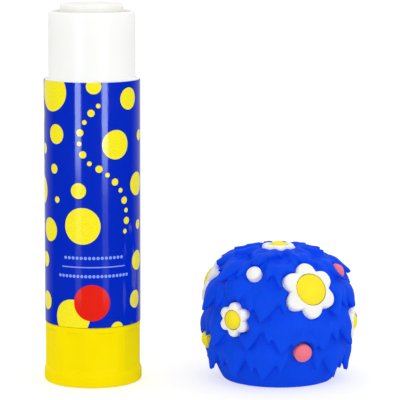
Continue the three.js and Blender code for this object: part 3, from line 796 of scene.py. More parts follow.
@dataclass
class DottedLabel:
    """Glossy blue film with yellow dots, wrapped round the barrel and lapped at the back.

    A dot is given by its turn, its height and its radius.
    """

    foot: float = 16.1
    top: float = 80.15
    inner_radius: float = 12.5
    thickness: float = 0.15
    lap: float = 3.0
    lap_gap: float = 0.01
    lap_from: float = 174.0
    lap_turn: float = 5.0
    strip_turn: float = 2.0
    front_dots: tuple[Point, ...] = (
        (-56.5, 77.5, 5.2), (0.7, 79.2, 2.0), (46.8, 75.7, 2.87), (-49.0, 66.5, 2.58),
        (-77.0, 62.2, 1.45), (-52.7, 57.4, 1.28), (-87.0, 51.2, 3.9), (-47.6, 49.4, 0.84),
        (-62.5, 41.2, 3.12), (-18.0, 52.1, 2.05), (-13.6, 42.9, 4.8), (27.6, 64.0, 3.82),
        (63.8, 53.1, 3.1), (68.2, 42.2, 1.3), (72.1, 65.7, 1.45), (-74.9, 33.0, 2.05),
        (64.9, 32.8, 2.62), (-71.6, 22.1, 2.48), (59.6, 22.6, 2.37), (-27.1, 18.6, 4.87),
        (28.9, 15.6, 1.86),
    )  # fmt: skip
    sizes_behind: tuple[float, ...] = (
        5.0, 4.6, 5.0, 3.9, 3.4, 3.6, 3.0, 3.2, 2.8, 2.6, 2.7, 2.3, 2.4,
        2.1, 2.0, 1.8, 1.6, 1.6, 1.5, 1.4, 1.4, 1.3, 1.1, 1.0, 1.0,
    )  # fmt: skip
    turns_behind: Pair = (86.0, 276.0)
    least_gap: float = 1.9
    tries: int = 400
    seed: int = 11
    bends: tuple[Pair, ...] = (
        (6, 74.2), (-9, 70.5), (-17, 65.5), (-9, 60.2), (8, 57.6),
        (25, 54.6), (38, 50.2), (43, 44.4), (37, 38.6),
    )  # fmt: skip
    trail_sizes: Pair = (0.62, 0.95)
    trail_spacing: float = 2.75
    rule_turn: float = 40.0
    rule_height: float = 32.1
    rule_half_width: float = 0.14
    tiny_rows: tuple[tuple[float, float, int], ...] = ((34.5, 35.0, 15), (29.7, 43.0, 19))
    tiny_size: float = 0.42
    red_disc: Point = (-2.3, 22.7, 4.8)

    @property
    def radius(self) -> float:
        """Radius of the printed face."""
        return self.inner_radius + self.thickness

    def along(self, turn: float) -> float:
        """Millimetres round the film for a turn in degrees."""
        return math.radians(turn) * self.radius

    def disc(self, turn: float, height: float, radius: float, ink: Ink) -> PrintedShape:
        """Draws a round dot.

        Args:
            turn: Its place round the label.
            height: Its height.
            radius: Its radius.
            ink: Its ink.

        Returns:
            The shape.
        """
        count = max(20, min(64, int(radius * 18)))
        middle = self.along(turn)
        steps = [2 * math.pi * i / count for i in range(count)]
        edge = ((middle + radius * math.cos(a), height + radius * math.sin(a)) for a in steps)
        return PrintedShape(tuple(edge), ink)

    def gap(self, one: Point, other: Point) -> float:
        """Film left between two dots, in millimetres."""
        turn = (one[0] - other[0] + 180) % 360 - 180
        return math.hypot(self.along(turn), one[1] - other[1]) - other[2] - one[2]

    def scattered_dots(self) -> list[Point]:
        """Seeded dots of the same sizes on the sides and the back."""
        chance = random.Random(self.seed)
        dots: list[Point] = []
        for size in self.sizes_behind:
            for _ in range(self.tries):
                turn = chance.uniform(*self.turns_behind)
                height = chance.uniform(self.foot - 1, self.top + 1)
                others = (*self.front_dots, *dots)
                if min(self.gap((turn, height, size), dot) for dot in others) > self.least_gap:
                    dots.append((turn if turn <= 180 else turn - 360, height, size))
                    break
        return dots

    def bend(self, places: Sequence[Vector], part: float) -> Vector:
        """Finds a point on a smooth curve through four places.

        Args:
            places: The four places.
            part: How far the point is between the middle two, from 0 to 1.

        Returns:
            The point.
        """
        before, start, end, after = places
        return 0.5 * (
            2 * start
            + (end - before) * part
            + (2 * before - 5 * start + 4 * end - after) * part**2
            + (3 * start - before - 3 * end + after) * part**3
        )

    def trail(self) -> list[PrintedShape]:
        """A trail of small dots that winds between the large ones down the front."""
        places = [Vector((self.along(turn), height)) for turn, height in self.bends]
        padded = [places[0], *places, places[-1]]
        steps = 24
        walk = [
            self.bend(padded[i : i + 4], step / steps)
            for i in range(len(places) - 1)
            for step in range(steps)
        ]
        shapes: list[PrintedShape] = []
        run = wanted = 0.0
        for here, there in pairwise([*walk, places[-1]]):
            run += (there - here).length
            if run >= wanted:
                turn = math.degrees(here.x / self.radius)
                size = self.trail_sizes[len(shapes) % 2]
                shapes.append(self.disc(turn, here.y, size, Ink.YELLOW))
                wanted = run + self.trail_spacing
        return shapes

    def rules(self) -> list[PrintedShape]:
        """A thin pale rule between two rows of very small dots."""
        steps = 40
        across = [self.along(self.rule_turn * (2 * i / steps - 1)) for i in range(steps + 1)]
        low = [(along, self.rule_height - self.rule_half_width) for along in across]
        high = [(along, self.rule_height + self.rule_half_width) for along in across]
        shapes = [PrintedShape((*low, *reversed(high)), Ink.PALE_BLUE)]
        for height, reach, count in self.tiny_rows:
            for i in range(count):
                turn = reach * (2 * i / (count - 1) - 1)
                shapes.append(self.disc(turn, height, self.tiny_size, Ink.PALE_BLUE))
        return shapes

    def artwork(self) -> list[PrintedShape]:
        """Every printed shape, the ones on top last."""
        dots = (*self.front_dots, *self.scattered_dots())
        shapes = [self.disc(*dot, Ink.YELLOW) for dot in dots]
        return [*shapes, *self.trail(), *self.rules(), self.disc(*self.red_disc, Ink.RED)]

    def lapped(self, along: float) -> float:
        """How far the film stands out where it laps over its own start, in millimetres."""
        past = (along - self.along(self.lap_from)) / self.along(self.lap_turn)
        return (self.thickness + self.lap_gap) * ease(past)

    def unrolled(self) -> tuple[list[Vector], list[tuple[int, int, int]], list[int]]:
        """Cuts the flat film into triangles along every printed outline.

        Returns:
            The points, the triangles that lie on the film, and each one's ink by number.
        """
        left, right = self.along(-180), self.along(180) + self.lap
        corners = ((left, self.foot), (right, self.foot), (right, self.top), (left, self.top))
        points = [Vector(corner) for corner in corners]
        outlines = [[0, 1, 2, 3]]
        inks = [Ink.BLUE]
        edges: list[tuple[int, int]] = []
        strip = self.along(self.strip_turn)
        along = left + strip
        while along < right - 0.05:
            edges.append((len(points), len(points) + 1))
            points += [Vector((along, self.foot)), Vector((along, self.top))]
            along += strip
        for shape in self.artwork():
            outlines.append(list(range(len(points), len(points) + len(shape.outline))))
            points += [Vector(point) for point in shape.outline]
            inks.append(shape.ink)
        cut, _, triangles, _, _, sources = delaunay_2d_cdt(points, edges, outlines, 1, 1e-5)
        kept = [i for i, source in enumerate(sources) if 0 in source]
        numbers = [list(Ink).index(inks[max(sources[i])]) for i in kept]
        return cut, [tuple(triangles[i]) for i in kept], numbers

    def wrapped(self) -> bpy.types.Mesh:
        """Wraps the film round the barrel, with both faces shaded as round.

        Returns:
            Its mesh.
        """
        flat, triangles, inks = self.unrolled()
        count = len(flat)
        sketch = Sketch()
        for radius in (self.radius, self.inner_radius):
            for along, height in flat:
                turn = math.degrees(along / self.radius)
                sketch.ring([on_ring(radius + self.lapped(along), turn, height)])
        borders: dict[tuple[int, int], int] = {}
        for triangle, ink in zip(triangles, inks):
            sketch.face(*triangle, ink=ink)
            for start, end in pairwise((*triangle, triangle[0])):
                if borders.pop((end, start), None) is None:
                    borders[start, end] = ink
        for triangle in triangles:
            sketch.face(*(count + corner for corner in reversed(triangle)))
        for (start, end), ink in borders.items():
            sketch.face(end, start, count + start, count + end, ink=ink)
        mesh = sketch.mesh("label_film")
        mesh.shade_smooth()
        normals: list[Vector] = []
        for polygon in mesh.polygons:
            face = min(2, polygon.index // len(triangles))
            for corner in polygon.vertices:
                at = mesh.vertices[corner].co
                out = Vector((at.x, at.y, 0)).normalized()
                normals.append((out, -out, polygon.normal.copy())[face])
        mesh.normals_split_custom_set(normals)
        return mesh

    def build(self) -> None:
        """Builds the film with its print."""
        inks = [PrintedFilm(f"film_{ink.name.lower()}", ink.value).material() for ink in Ink]
        mesh = self.wrapped()
        place_piece("label_film", mesh, inks, Body.BARREL, "label_sleeve", crease=0)


@dataclass
class TwistKnob:
    """Yellow moulded cup with nine shallow flats, a plain collar and a flared foot."""

    height: float = 16.0
    collar_radius: float = 12.55
    flat_radius: float = 12.15
    land_radius: float = 12.55
    land_softness: float = 0.035
    flats: int = 9
    first_flat: float = -25.0
    collar: float = 1.1
    collar_lip: float = 0.3
    run_out: float = 0.55
    foot_radius: float = 12.9
    foot_rounding: float = 0.75
    foot_height: float = 2.9
    flare_run: float = 1.6
    wall: float = 1.5
    floor: float = 2.0
    hub_radius: float = 6.3
    hub_top: float = 13.0
    socket_radius: float = 4.75
    pad_radius: float = 6.6
    pad_rounding: float = 0.2
    recess_width: float = 3.0
    recess_depth: float = 0.5
    columns: int = 360
    finish: MouldedPlastic = MouldedPlastic(
        "knob_plastic",
        (255, 229, 0),
        roughness=0.33,
        specular=0.02,
        glow=0.3,
        glow_depth=0.9,
        glow_reach=(1.0, 0.6, 0.25),
    )

    def flat_outline(self, turn: float) -> float:
        """Finds the radius of the flats and of the round lands between them.

        Args:
            turn: The turn round the knob.

        Returns:
            The radius there.
        """
        pitch = 360 / self.flats
        off = abs((turn - self.first_flat + pitch / 2) % pitch - pitch / 2)
        straight = self.flat_radius / math.cos(math.radians(off))
        blend = ease(0.5 + 0.5 * (straight - self.land_radius) / self.land_softness)
        return straight + (min(straight, self.land_radius) - straight) * blend

    def ring(self, radius: float, height: float, flats: float = 0.0) -> list[Point]:
        """Draws one ring.

        Args:
            radius: Radius where it is round.
            height: Its height.
            flats: 0 for round and 1 for the flats' outline.

        Returns:
            The ring's points.
        """

        def shaped(turn: float) -> float:
            """Radius at a turn."""
            return radius + (self.flat_outline(turn) - radius) * flats

        return ring_of(self.columns, shaped if flats else radius, height)

    def outside(self) -> list[tuple[float, ...]]:
        """Radii, heights and shares of the flats, from the foot's edge up to the top."""
        foot, rounding, lip = self.foot_radius, self.foot_rounding, self.collar_lip
        flats_top = self.height - self.collar
        flare = [step / 8 for step in range(1, 9)]
        fade = [step / 5 for step in range(1, 6)]
        start, run = flats_top - self.run_out, self.run_out - 0.1
        return [
            *arc(foot - rounding, rounding, rounding, -90, 0, 9),
            (foot, self.foot_height),
            *((foot, self.foot_height + self.flare_run * part, ease(part)) for part in flare),
            (foot, 0.5 * (self.foot_height + flats_top), 1.0),
            (foot, start, 1.0),
            *((self.collar_radius, start + run * part, 1 - ease(part)) for part in fade),
            *arc(self.collar_radius - lip, self.height - lip, lip, 0, 90, 4),
        ]

    def build(self) -> None:
        """Builds the knob."""
        cavity = self.collar_radius - self.wall
        pad, edge, depth = self.pad_radius, self.pad_rounding, self.recess_depth
        recess = pad + self.recess_width
        base = [
            *arc(pad - edge, edge, edge, 270, 360, 3),
            (pad + 0.05, depth),
            (recess - 0.05, depth),
            *arc(recess + edge, edge, edge, 180, 270, 3),
        ]
        inside = [
            (cavity + 0.2, self.height),
            (cavity, self.height - 0.3),
            (cavity, self.floor + 0.6),
            (cavity - 0.6, self.floor),
            (self.hub_radius + 0.4, self.floor),
            (self.hub_radius, self.floor + 0.4),
            (self.hub_radius, self.hub_top),
            (self.socket_radius, self.hub_top),
            (self.socket_radius, self.floor),
        ]
        rings = [self.ring(*place) for place in (*base, *self.outside(), *inside)]
        sketch = Sketch.lofted(rings, [(0, 0, 0), (0, 0, self.floor)])
        finishes = [self.finish.material()]
        place_piece("knob_cup", sketch, finishes, Body.KNOB, "twist_knob")


@dataclass
class GlueBlock:
    """White glue, cast with a slightly crowned top that is not quite even."""

    foot: float = 26.2
    top: float = 100.2
    radius: float = 8.35
    edge: float = 0.85
    crown: float = 0.25
    dip: float = 0.07
    dip_depth: float = 2.0
    bore_radius: float = 5.3
    bore_top: float = 91.9
    columns: int = 128
    finish: CastGlue = CastGlue("cast_glue", (247, 246, 240))

    def build(self) -> None:
        """Builds the block."""
        flat = self.radius - self.edge
        parts = [1 - i / 8 for i in range(1, 8)]
        profile = [
            (0, self.bore_top + 1),
            (self.bore_radius, self.bore_top),
            (self.bore_radius, self.foot),
            (self.radius, self.foot),
            (self.radius, 0.5 * (self.foot + self.top)),
            *arc(flat, self.top - self.crown - self.edge, self.edge, 0, 90, 8),
            *((flat * part, self.top - self.crown * part**2) for part in parts),
            (0, self.top),
        ]
        uneven = Sketch.turned(profile, self.columns).moved(self.uneven)
        finishes = [self.finish.material()]
        place_piece("glue_block", uneven, finishes, Body.CARRIAGE, "glue")

    def uneven(self, point: Point) -> Point:
        """Lowers a point of the top by a few hundredths, in slow waves.

        Args:
            point: A point of the block.

        Returns:
            The point, where it is near the top a little lower.
        """
        x, y, z = point
        if z < self.top - self.dip_depth:
            return point
        wave = math.sin(0.55 * x + 0.4) * math.cos(0.47 * y - 0.8)
        return x, y, z - self.dip * (1 + wave)


@dataclass
class FeedMechanism:
    """The screw and the carrier, whose shapes come from the frame and only get their finish."""

    screw: MouldedPlastic = MouldedPlastic(
        "screw_plastic", (246, 246, 242), roughness=0.36, glow=0.1
    )
    carrier: MouldedPlastic = MouldedPlastic(
        "carrier_plastic", (240, 241, 240), roughness=0.4, glow=0.1
    )

    def dress(self, nodes: dict[str, bpy.types.Object]) -> None:
        """Gives the two nodes their plastics.

        Args:
            nodes: The frame's nodes by name.
        """
        for name, finish in (("feed_screw", self.screw), ("glue_carrier", self.carrier)):
            material = finish.material()
            for slot in nodes[name].material_slots:
                slot.material = material
            log.info("%s: dressed with %s", name, finish.name)


@dataclass(frozen=True)
class OutlinePlace:
    """A place on the cap's side outline with the outward direction there."""

    radius: float
    height: float
    outwards: float
    upwards: float


@dataclass
class CapForm:
    """The smooth body of the cap that its tufts, flowers and dots sit on."""

    stands_at: float = 49.4
    radius: float = 19.0
    height: float = 34.4
    widest_at: float = 16.5
    mouth_radius: float = 14.6
    squareness: float = 2.6
    samples: int = 240

    def __post_init__(self) -> None:
        """Measures the side outline from the crown to the mouth."""
        squeeze = math.sqrt(1 - (self.mouth_radius / self.radius) ** 2)
        last = math.pi / 2 + math.asin(squeeze)
        power = 2 / self.squareness
        self.outline: Profile = []
        for i in range(self.samples + 1):
            turn = last * i / self.samples
            across, along = abs(math.sin(turn)), math.cos(turn)
            if along > 0:
                across **= power
                height = self.widest_at + (self.height - self.widest_at) * along**power
            else:
                height = self.widest_at * (1 + along / squeeze)
            self.outline.append((self.radius * across, height))
        steps = (math.dist(*pair) for pair in pairwise(self.outline))
        self.runs = [0.0, *accumulate(steps)]

    def at(self, share: float) -> OutlinePlace:
        """Finds a place on the side outline.

        Args:
            share: Share of its length from the crown.

        Returns:
            The place.
        """
        wanted = min(1.0, max(0.0, share)) * self.runs[-1]
        index = max(1, bisect_left(self.runs, wanted - 1e-9))
        (r0, h0), (r1, h1) = self.outline[index - 1], self.outline[index]
        length = self.runs[index] - self.runs[index - 1]
        part = (wanted - self.runs[index - 1]) / length
        middle = (r0 + (r1 - r0) * part, h0 + (h1 - h0) * part)
        return OutlinePlace(*middle, (h0 - h1) / length, (r1 - r0) / length)

    def over(self, turn: float, share: float, lift: float) -> Point:
        """Finds a point over the smooth body, about the cap's own axis.

        Args:
            turn: Its turn round the cap.
            share: Its share of the side outline.
            lift: Its height over the body.

        Returns:
            The point.
        """
        place = self.at(share)
        radius = place.radius + lift * place.outwards
        return on_ring(radius, turn, place.height + lift * place.upwards)

    def on_table(self, point: Point) -> Point:
        """Moves a point from the cap's own axis to where the cap stands."""
        return point[0] + self.stands_at, point[1], point[2]


@dataclass(frozen=True)
class Inlay:
    """Where a flower or a dot sits on the cap, its size in cap radii, and its petals."""

    turn: float
    share: float
    size: float
    colour: VinylColour = VinylColour.WHITE
    petals: int = 0
    notch: float = 0.26

    def radius(self, form: CapForm) -> float:
        """Radius in millimetres, at the petals' tips."""
        return self.size * form.radius

    def edge(self, turn: float) -> float:
        """Share of the radius at which it ends, at a turn round it."""
        return 1 - self.notch * (1 - abs(math.cos(math.radians(self.petals * turn / 2))))

    def placed(self, form: CapForm) -> Callable[[Point], Point]:
        """Finds its place about the cap's own axis.

        Args:
            form: The cap's body.

        Returns:
            A function that sets points drawn flat on the origin onto the cap.
        """
        place = form.at(self.share)
        crown = self.share == 0
        lean = Matrix.Rotation(0 if crown else math.atan2(place.outwards, place.upwards), 3, "X")
        spin = Matrix.Rotation(math.radians(self.turn), 3, "Z")
        shift = Vector((0, 0 if crown else -place.radius, form.height if crown else place.height))

        def onto(point: Point) -> Point:
            """Bends a point to the cap's roundness and puts it in its place."""
            sag = (point[0] ** 2 + point[1] ** 2) / (2 * form.radius)
            return tuple(spin @ (lean @ Vector((point[0], point[1], point[2] - sag)) + shift))

        return onto


FLOWERS = (
    Inlay(22, 0.43, 0.39, petals=6),
    Inlay(-42, 0.6, 0.24, petals=6),
    Inlay(78, 0.66, 0.25, petals=6),
    Inlay(-104, 0.44, 0.35, petals=6),
    Inlay(142, 0.45, 0.38, petals=6),
    Inlay(-158, 0.64, 0.25, petals=6),
    Inlay(0, 0, 0.25, petals=6),
)
DOTS = (
    Inlay(-30, 0.34, 0.105, VinylColour.WHITE),
    Inlay(14, 0.77, 0.125, VinylColour.PINK),
    Inlay(-84, 0.76, 0.12, VinylColour.YELLOW),
    Inlay(70, 0.36, 0.105, VinylColour.PINK),
    Inlay(106, 0.54, 0.11, VinylColour.WHITE),
    Inlay(-136, 0.8, 0.115, VinylColour.PINK),
    Inlay(168, 0.78, 0.125, VinylColour.YELLOW),
)


@dataclass
class CapInlays:
    """Flowers and dots of soft vinyl, set into the cap."""

    form: CapForm
    petal_share: float = 0.42
    foot: float = -0.85
    rise: float = 1.5
    petal_crown: float = 0.3
    petal_crease: float = 0.6
    petal_rounding: float = 0.55
    shoulder: float = 0.5
    dome: float = 0.7
    gap: float = 0.15
    columns: int = 144
    dome_columns: int = 64

    def hole(self, flower: Inlay) -> float:
        """Radius of the hole in a flower for its centre."""
        return flower.radius(self.form) * (1 - self.petal_share)

    def petal_top(self, flower: Inlay, turn: float, reach: float) -> float:
        """Finds the height of domed petals with a crease between each two.

        Args:
            flower: The flower.
            turn: The turn round it.
            reach: The distance from its middle.

        Returns:
            The height there.
        """
        hole = self.hole(flower)
        across = abs(math.sin(math.radians(flower.petals * turn / 2)))
        out = (reach - hole) / (flower.radius(self.form) - hole)
        dome = self.petal_crown * math.sin(math.pi * min(1.0, max(0.0, 0.15 + 0.8 * out)))
        return self.rise + dome - self.petal_crease * across**5 * ease(1.6 * out)

    def flower(self, flower: Inlay) -> Sketch:
        """Draws a crown of petals, flat on the origin.

        Args:
            flower: The flower's size and petals.

        Returns:
            The petals, with a round hole for the centre.
        """
        radius, hole, edge = flower.radius(self.form), self.hole(flower), self.petal_rounding

        def reach(inset: float, inwards: float = 0.0) -> ByTurn:
            """Draws a line round the flower.

            Args:
                inset: How far it lies inside the petals' edge.
                inwards: How much of the rest of the way to the hole it has gone.

            Returns:
                Its distance from the middle, by turn.
            """

            def at(turn: float) -> float:
                """Distance at a turn."""
                outer = (radius - inset) * flower.edge(turn)
                return outer + (hole + 0.2 - outer) * inwards

            return at

        def below(distance: ByTurn, drop: float) -> tuple[ByTurn, ByTurn]:
            """Distances from the middle, with heights by a drop below the petals' tops."""
            return distance, lambda turn: self.petal_top(flower, turn, distance(turn)) - drop

        rounded = arc(edge, 0, edge, 180, 90)[1:]
        parts = [step / 9 for step in range(1, 9)]
        steps = [
            (reach(0), self.foot),
            below(reach(0), edge + 0.25),
            *(below(reach(inset), edge - rise + 0.05) for inset, rise in rounded),
            *(below(reach(edge, part), 0.05 * (1 - part)) for part in parts),
            below(lambda turn: hole, 0.2),
            (hole, self.foot),
        ]
        return Sketch.lofted([ring_of(self.columns, *step) for step in steps])

    def round_dome(self, radius: float) -> Sketch:
        """Draws a low dome with rounded shoulders, flat on the origin.

        Args:
            radius: Its radius.

        Returns:
            The dome.
        """
        shoulder, top = self.shoulder, self.rise + self.dome
        side = arc(radius - shoulder, self.rise + 0.05 - shoulder, shoulder, 0, 65)
        reach, low = side[-1]
        parts = [1 - step / 8 for step in range(1, 8)]
        lid = [(reach * part, low + (top - low) * (1 - part**2)) for part in parts]
        profile = [(0, self.foot), (radius, self.foot), *side, *lid, (0, top)]
        return Sketch.turned(profile, self.dome_columns)

    def build(self) -> None:
        """Builds every flower and dot."""
        for number, flower in enumerate(FLOWERS, 1):
            centre = replace(flower, colour=VinylColour.YELLOW)
            dome = self.round_dome(self.hole(flower) - self.gap)
            self.set_in(f"petals_{number}", self.flower(flower), flower, f"flower_petals_{number}")
            self.set_in(f"centre_{number}", dome, centre, f"flower_centre_{number}")
        for number, dot in enumerate(DOTS, 1):
            dome = self.round_dome(dot.radius(self.form))
            self.set_in(f"spot_{number}", dome, dot, f"dot_{number}")

    def set_in(self, name: str, sketch: Sketch, inlay: Inlay, node: str) -> None:
        """Sets one drawn inlay into the cap.

        Args:
            name: Name of the piece.
            sketch: Its flat drawing on the origin.
            inlay: Its place and colour.
            node: The frame's node that it stands for.
        """
        placed = sketch.moved(inlay.placed(self.form)).moved(self.form.on_table)
        place_piece(name, placed, [vinyl(inlay.colour)], Body.CAP, node, crease=50)


@dataclass
class CapLiner:
    """Rigid inner cup of the cap, with crush ribs that grip the neck."""

    form: CapForm
    bore: float = 11.75
    wall: float = 1.0
    neck_length: float = 17.5
    chamber_radius: float = 9.5
    roof: float = 22.0
    roof_thickness: float = 1.2
    ring_at: float = 7.0
    ring_depth: float = 0.5
    ring_height: float = 1.8
    mouth_chamfer: float = 0.45
    ribs: int = 8
    rib_half_width: float = 0.4
    rib_crest: float = 0.6
    rib_radius: float = 11.45
    columns_per_rib: int = 18
    finish: MouldedPlastic = MouldedPlastic(
        "liner_plastic", (238, 239, 236), roughness=0.38, glow=0.3, glow_depth=1.2
    )

    def outline(self, grown: float = 0.0) -> Profile:
        """Draws the side outline of the outside, from the mouth up to the roof.

        Args:
            grown: How much larger than the liner, for the hole that it sits in.

        Returns:
            The radii and heights.
        """
        radius = self.bore + self.wall + grown
        chamber = self.chamber_radius + self.wall + grown
        half = self.ring_height / 2
        step = self.neck_length + self.wall + grown
        slope = (radius - chamber) / 2
        top = self.roof + self.roof_thickness + grown
        return [
            (radius, 0),
            (radius, self.ring_at - half - grown),
            (radius + self.ring_depth, self.ring_at - half / 3),
            (radius + self.ring_depth, self.ring_at + half / 3),
            (radius, self.ring_at + half + grown),
            (radius, step - slope),
            (chamber, step + slope),
            (chamber, top),
            (0, top),
        ]

    def ring(self, radius: float, height: float, rib: float = 0.0) -> list[Point]:
        """Draws one ring with room for the crush ribs.

        Args:
            radius: The ring's radius.
            height: Its height.
            rib: 0 without ribs and 1 with whole ones.

        Returns:
            The ring's points.
        """
        crest = radius + (self.rib_radius - radius) * rib
        root_turn = math.degrees(math.asin(self.rib_half_width / radius))
        ends = ((radius, root_turn), (crest, self.rib_crest * root_turn))
        return ribbed_ring(*ends, height, self.ribs, self.columns_per_rib)

    def build(self) -> None:
        """Builds the liner."""
        *outside, (_, top) = self.outline()
        seat = self.neck_length + 0.1
        inside = [
            (self.chamber_radius, self.roof),
            (self.chamber_radius, seat),
            (self.bore, seat),
            (self.bore, seat - 0.4),
            (self.bore, seat - 0.6, 1.0),
            (self.bore, 1.6, 1.0),
            (self.bore, 0.8),
            (self.bore, self.mouth_chamfer),
            (self.bore + self.mouth_chamfer, 0),
        ]
        rings = [self.ring(*step) for step in (*inside, *outside)]
        sketch = Sketch.lofted(rings, [(0, 0, self.roof), (0, 0, top)])
        moved = sketch.moved(self.form.on_table)
        finishes = [self.finish.material()]
        place_piece("cap_inner_cup", moved, finishes, Body.CAP, "cap_liner")


@dataclass(frozen=True)
class TuftLock:
    """One lock of a tuft: its turn, its tip's share of the outline, and its sizes."""

    middle: float
    tip: float
    half: float
    reach: float
    lift: float
    sway: float
    fullness: float = 1.0
    fold: float = 0.0


@dataclass
class TuftedCap:
    """Soft vinyl shell with overlapping rows of pointed tufts, pocketed for its inlays."""

    form: CapForm
    liner: CapLiner
    tufts: int = 12
    row_tips: tuple[float, ...] = (0.25, 0.42, 0.59, 0.76, 0.92)
    tuft_reach: float = 0.25
    lift: float = 2.6
    lock_steps: int = 26
    lock_columns: int = 14
    voxel: float = 0.295
    dish: tuple[Pair, ...] = ((0.1, -0.3), (0.4, 0.5), (1.1, 1.4), (2.1, 2.6), (2.6, 8))
    pocket: tuple[Pair, ...] = ((0.1, -1.0), (0.1, 6.0))
    pocket_columns: int = 96
    liner_gap: float = 0.12
    seed: int = 5

    def ground(self) -> Sketch:
        """Draws the smooth body with a flat underside."""
        steps = 90
        side = [self.form.at(1 - i / steps) for i in range(steps)]
        outline = [(place.radius, place.height) for place in side]
        return Sketch.turned([(0, 0), *outline, (0, self.form.height)], 120)

    def lock(self, form: TuftLock) -> Sketch:
        """Draws one pointed lock, domed across, that lifts from the body towards its tip.

        Args:
            form: Its place and its sizes.

        Returns:
            A closed form that reaches a little into the body.
        """
        sketch = Sketch()
        rows: list[list[int]] = []
        for i in range(self.lock_steps + 1):
            along = i / self.lock_steps
            share = form.tip - form.reach * (1 - along)
            past = max(0.0, (along - 0.35) / 0.65)
            width = form.half * (0.8 + 0.2 * ease(along / 0.35)) * max(0.04, 1 - past**1.7)
            rise = form.lift * along**1.35 + 0.6 * ease((along - 0.75) / 0.25) - 1.0
            swell = 1.9 * ease(along * 1.6) * (1 - 0.75 * past**1.5) * form.fullness
            root = 2.4 * (1 - ease((along - 0.35) / 0.45))
            above: list[Point] = []
            below: list[Point] = []
            for j in range(self.lock_columns + 1):
                across = math.sin(math.pi * (j / self.lock_columns - 0.5))
                dome = math.sqrt(max(0.0, 1 - across**2))
                turn = form.middle + width * across + form.sway * (along**2 + 0.5 * along**6)
                fold = 0.34 * math.exp(-(((across - form.fold) / 0.14) ** 2)) * ease(3 * along)
                height = rise + swell * dome - fold * (1 - past) + 0.12
                depth = (0.3 + (0.65 - 0.25 * past)) * dome + 0.12 + root
                above.append(self.form.over(turn, share, height))
                below.append(self.form.over(turn, share, rise - depth))
            rows.append(sketch.ring(above + below[::-1]))
        for upper, lower in pairwise(rows):
            sketch.band(lower, upper)
        for row, order in ((rows[0], 1), (rows[-1], -1)):
            for j in range(self.lock_columns):
                sketch.face(*(row[j], row[j + 1], row[-2 - j], row[-1 - j])[::order])
        return sketch

    def tuft(self, middle: float, tip: float, chance: random.Random) -> Sketch:
        """Draws one tuft: a broad lock, and a slim, lower one in the gap beside it.

        Args:
            middle: The tuft's turn.
            tip: Share of the outline at which it ends.
            chance: Source of the small differences between tufts.

        Returns:
            Its two closed forms, which overlap.
        """
        pitch = 360 / self.tufts
        lift = self.lift * (1 - 0.2 * ease((0.36 - tip) / 0.1)) * chance.uniform(0.92, 1.06)
        reach = self.tuft_reach * chance.uniform(0.96, 1.06)
        sway, fold = chance.uniform(-3.5, 3.5), chance.uniform(-0.4, 0.4)
        broad = TuftLock(middle, tip, pitch * 0.47, reach, lift, sway, fold=fold)
        middle += pitch * chance.uniform(0.44, 0.56)
        tip -= chance.uniform(0.028, 0.045)
        sizes = (pitch * 0.25, reach * 0.85, lift * 0.7, chance.uniform(-2.5, 2.5))
        slim = TuftLock(middle, tip, *sizes, fullness=0.85)
        sketch = self.lock(self.kept_whole(broad))
        sketch.add(self.lock(self.kept_whole(slim)))
        return sketch

    def kept_whole(self, form: TuftLock) -> TuftLock:
        """Ends a lock under the flower or dot that would cut its tip off.

        Args:
            form: The lock as drawn.

        Returns:
            The same lock, or a shorter one.
        """
        for inlay in (*FLOWERS, *DOTS):
            centre = Vector(self.form.over(inlay.turn, inlay.share, 0))
            for along in (0.6, 0.7, 0.8, 0.9):
                share = form.tip - form.reach * (1 - along)
                middle = form.middle + form.sway * along**2
                off = (Vector(self.form.over(middle, share, 0)) - centre).length
                if off < 0.85 * inlay.radius(self.form) + 0.4:
                    return replace(form, tip=share, reach=form.reach * 0.9)
        return form

    def grown(self) -> bpy.types.Mesh:
        """Joins the body and all its tufts into one skin."""
        chance = random.Random(self.seed)
        sketch = self.ground()
        pitch = 360 / self.tufts
        for row, tip in enumerate(self.row_tips):
            for number in range(self.tufts):
                middle = pitch * (number + (0.5 if row % 2 == 0 else 0))
                sketch.add(self.tuft(middle, tip * chance.uniform(0.985, 1.015), chance))
        return self.reskinned(sketch.mesh("tufts"))

    def modified(self, mesh: bpy.types.Mesh, kind: str, **settings: object) -> bpy.types.Mesh:
        """Runs one modifier on a mesh, in a holder that is taken away again.

        Args:
            mesh: The mesh.
            kind: The modifier's type.
            **settings: Its settings by name.

        Returns:
            The new mesh.
        """
        holder = add_object("holder", mesh)
        modifier = holder.modifiers.new("change", kind)
        for name, value in settings.items():
            setattr(modifier, name, value)
        view = bpy.context.evaluated_depsgraph_get()
        result = bpy.data.meshes.new_from_object(holder.evaluated_get(view))
        bpy.data.objects.remove(holder)
        bpy.data.meshes.remove(mesh)
        return result

    def reskinned(self, mesh: bpy.types.Mesh) -> bpy.types.Mesh:
        """Covers everything in a mesh with one even skin."""
        return self.modified(mesh, "REMESH", mode="VOXEL", voxel_size=self.voxel * MM)

    def softened(self, mesh: bpy.types.Mesh) -> bpy.types.Mesh:
        """Rounds a mesh's edges as a soft moulding's are."""
        return self.modified(mesh, "SMOOTH", factor=0.5, iterations=3)

    def cut(self, mesh: bpy.types.Mesh, tools: Sketch) -> bpy.types.Mesh:
        """Cuts forms out of a mesh.

        Args:
            mesh: The mesh.
            tools: Closed forms that don't touch each other.

        Returns:
            The largest piece that is left.
        """
        tool = add_object("cutter", tools.mesh("cutter"))
        how = {"operation": "DIFFERENCE", "solver": "MANIFOLD", "object": tool}
        result = self.modified(mesh, "BOOLEAN", **how)
        bpy.data.meshes.remove(tool.data)
        return self.in_one_piece(result)

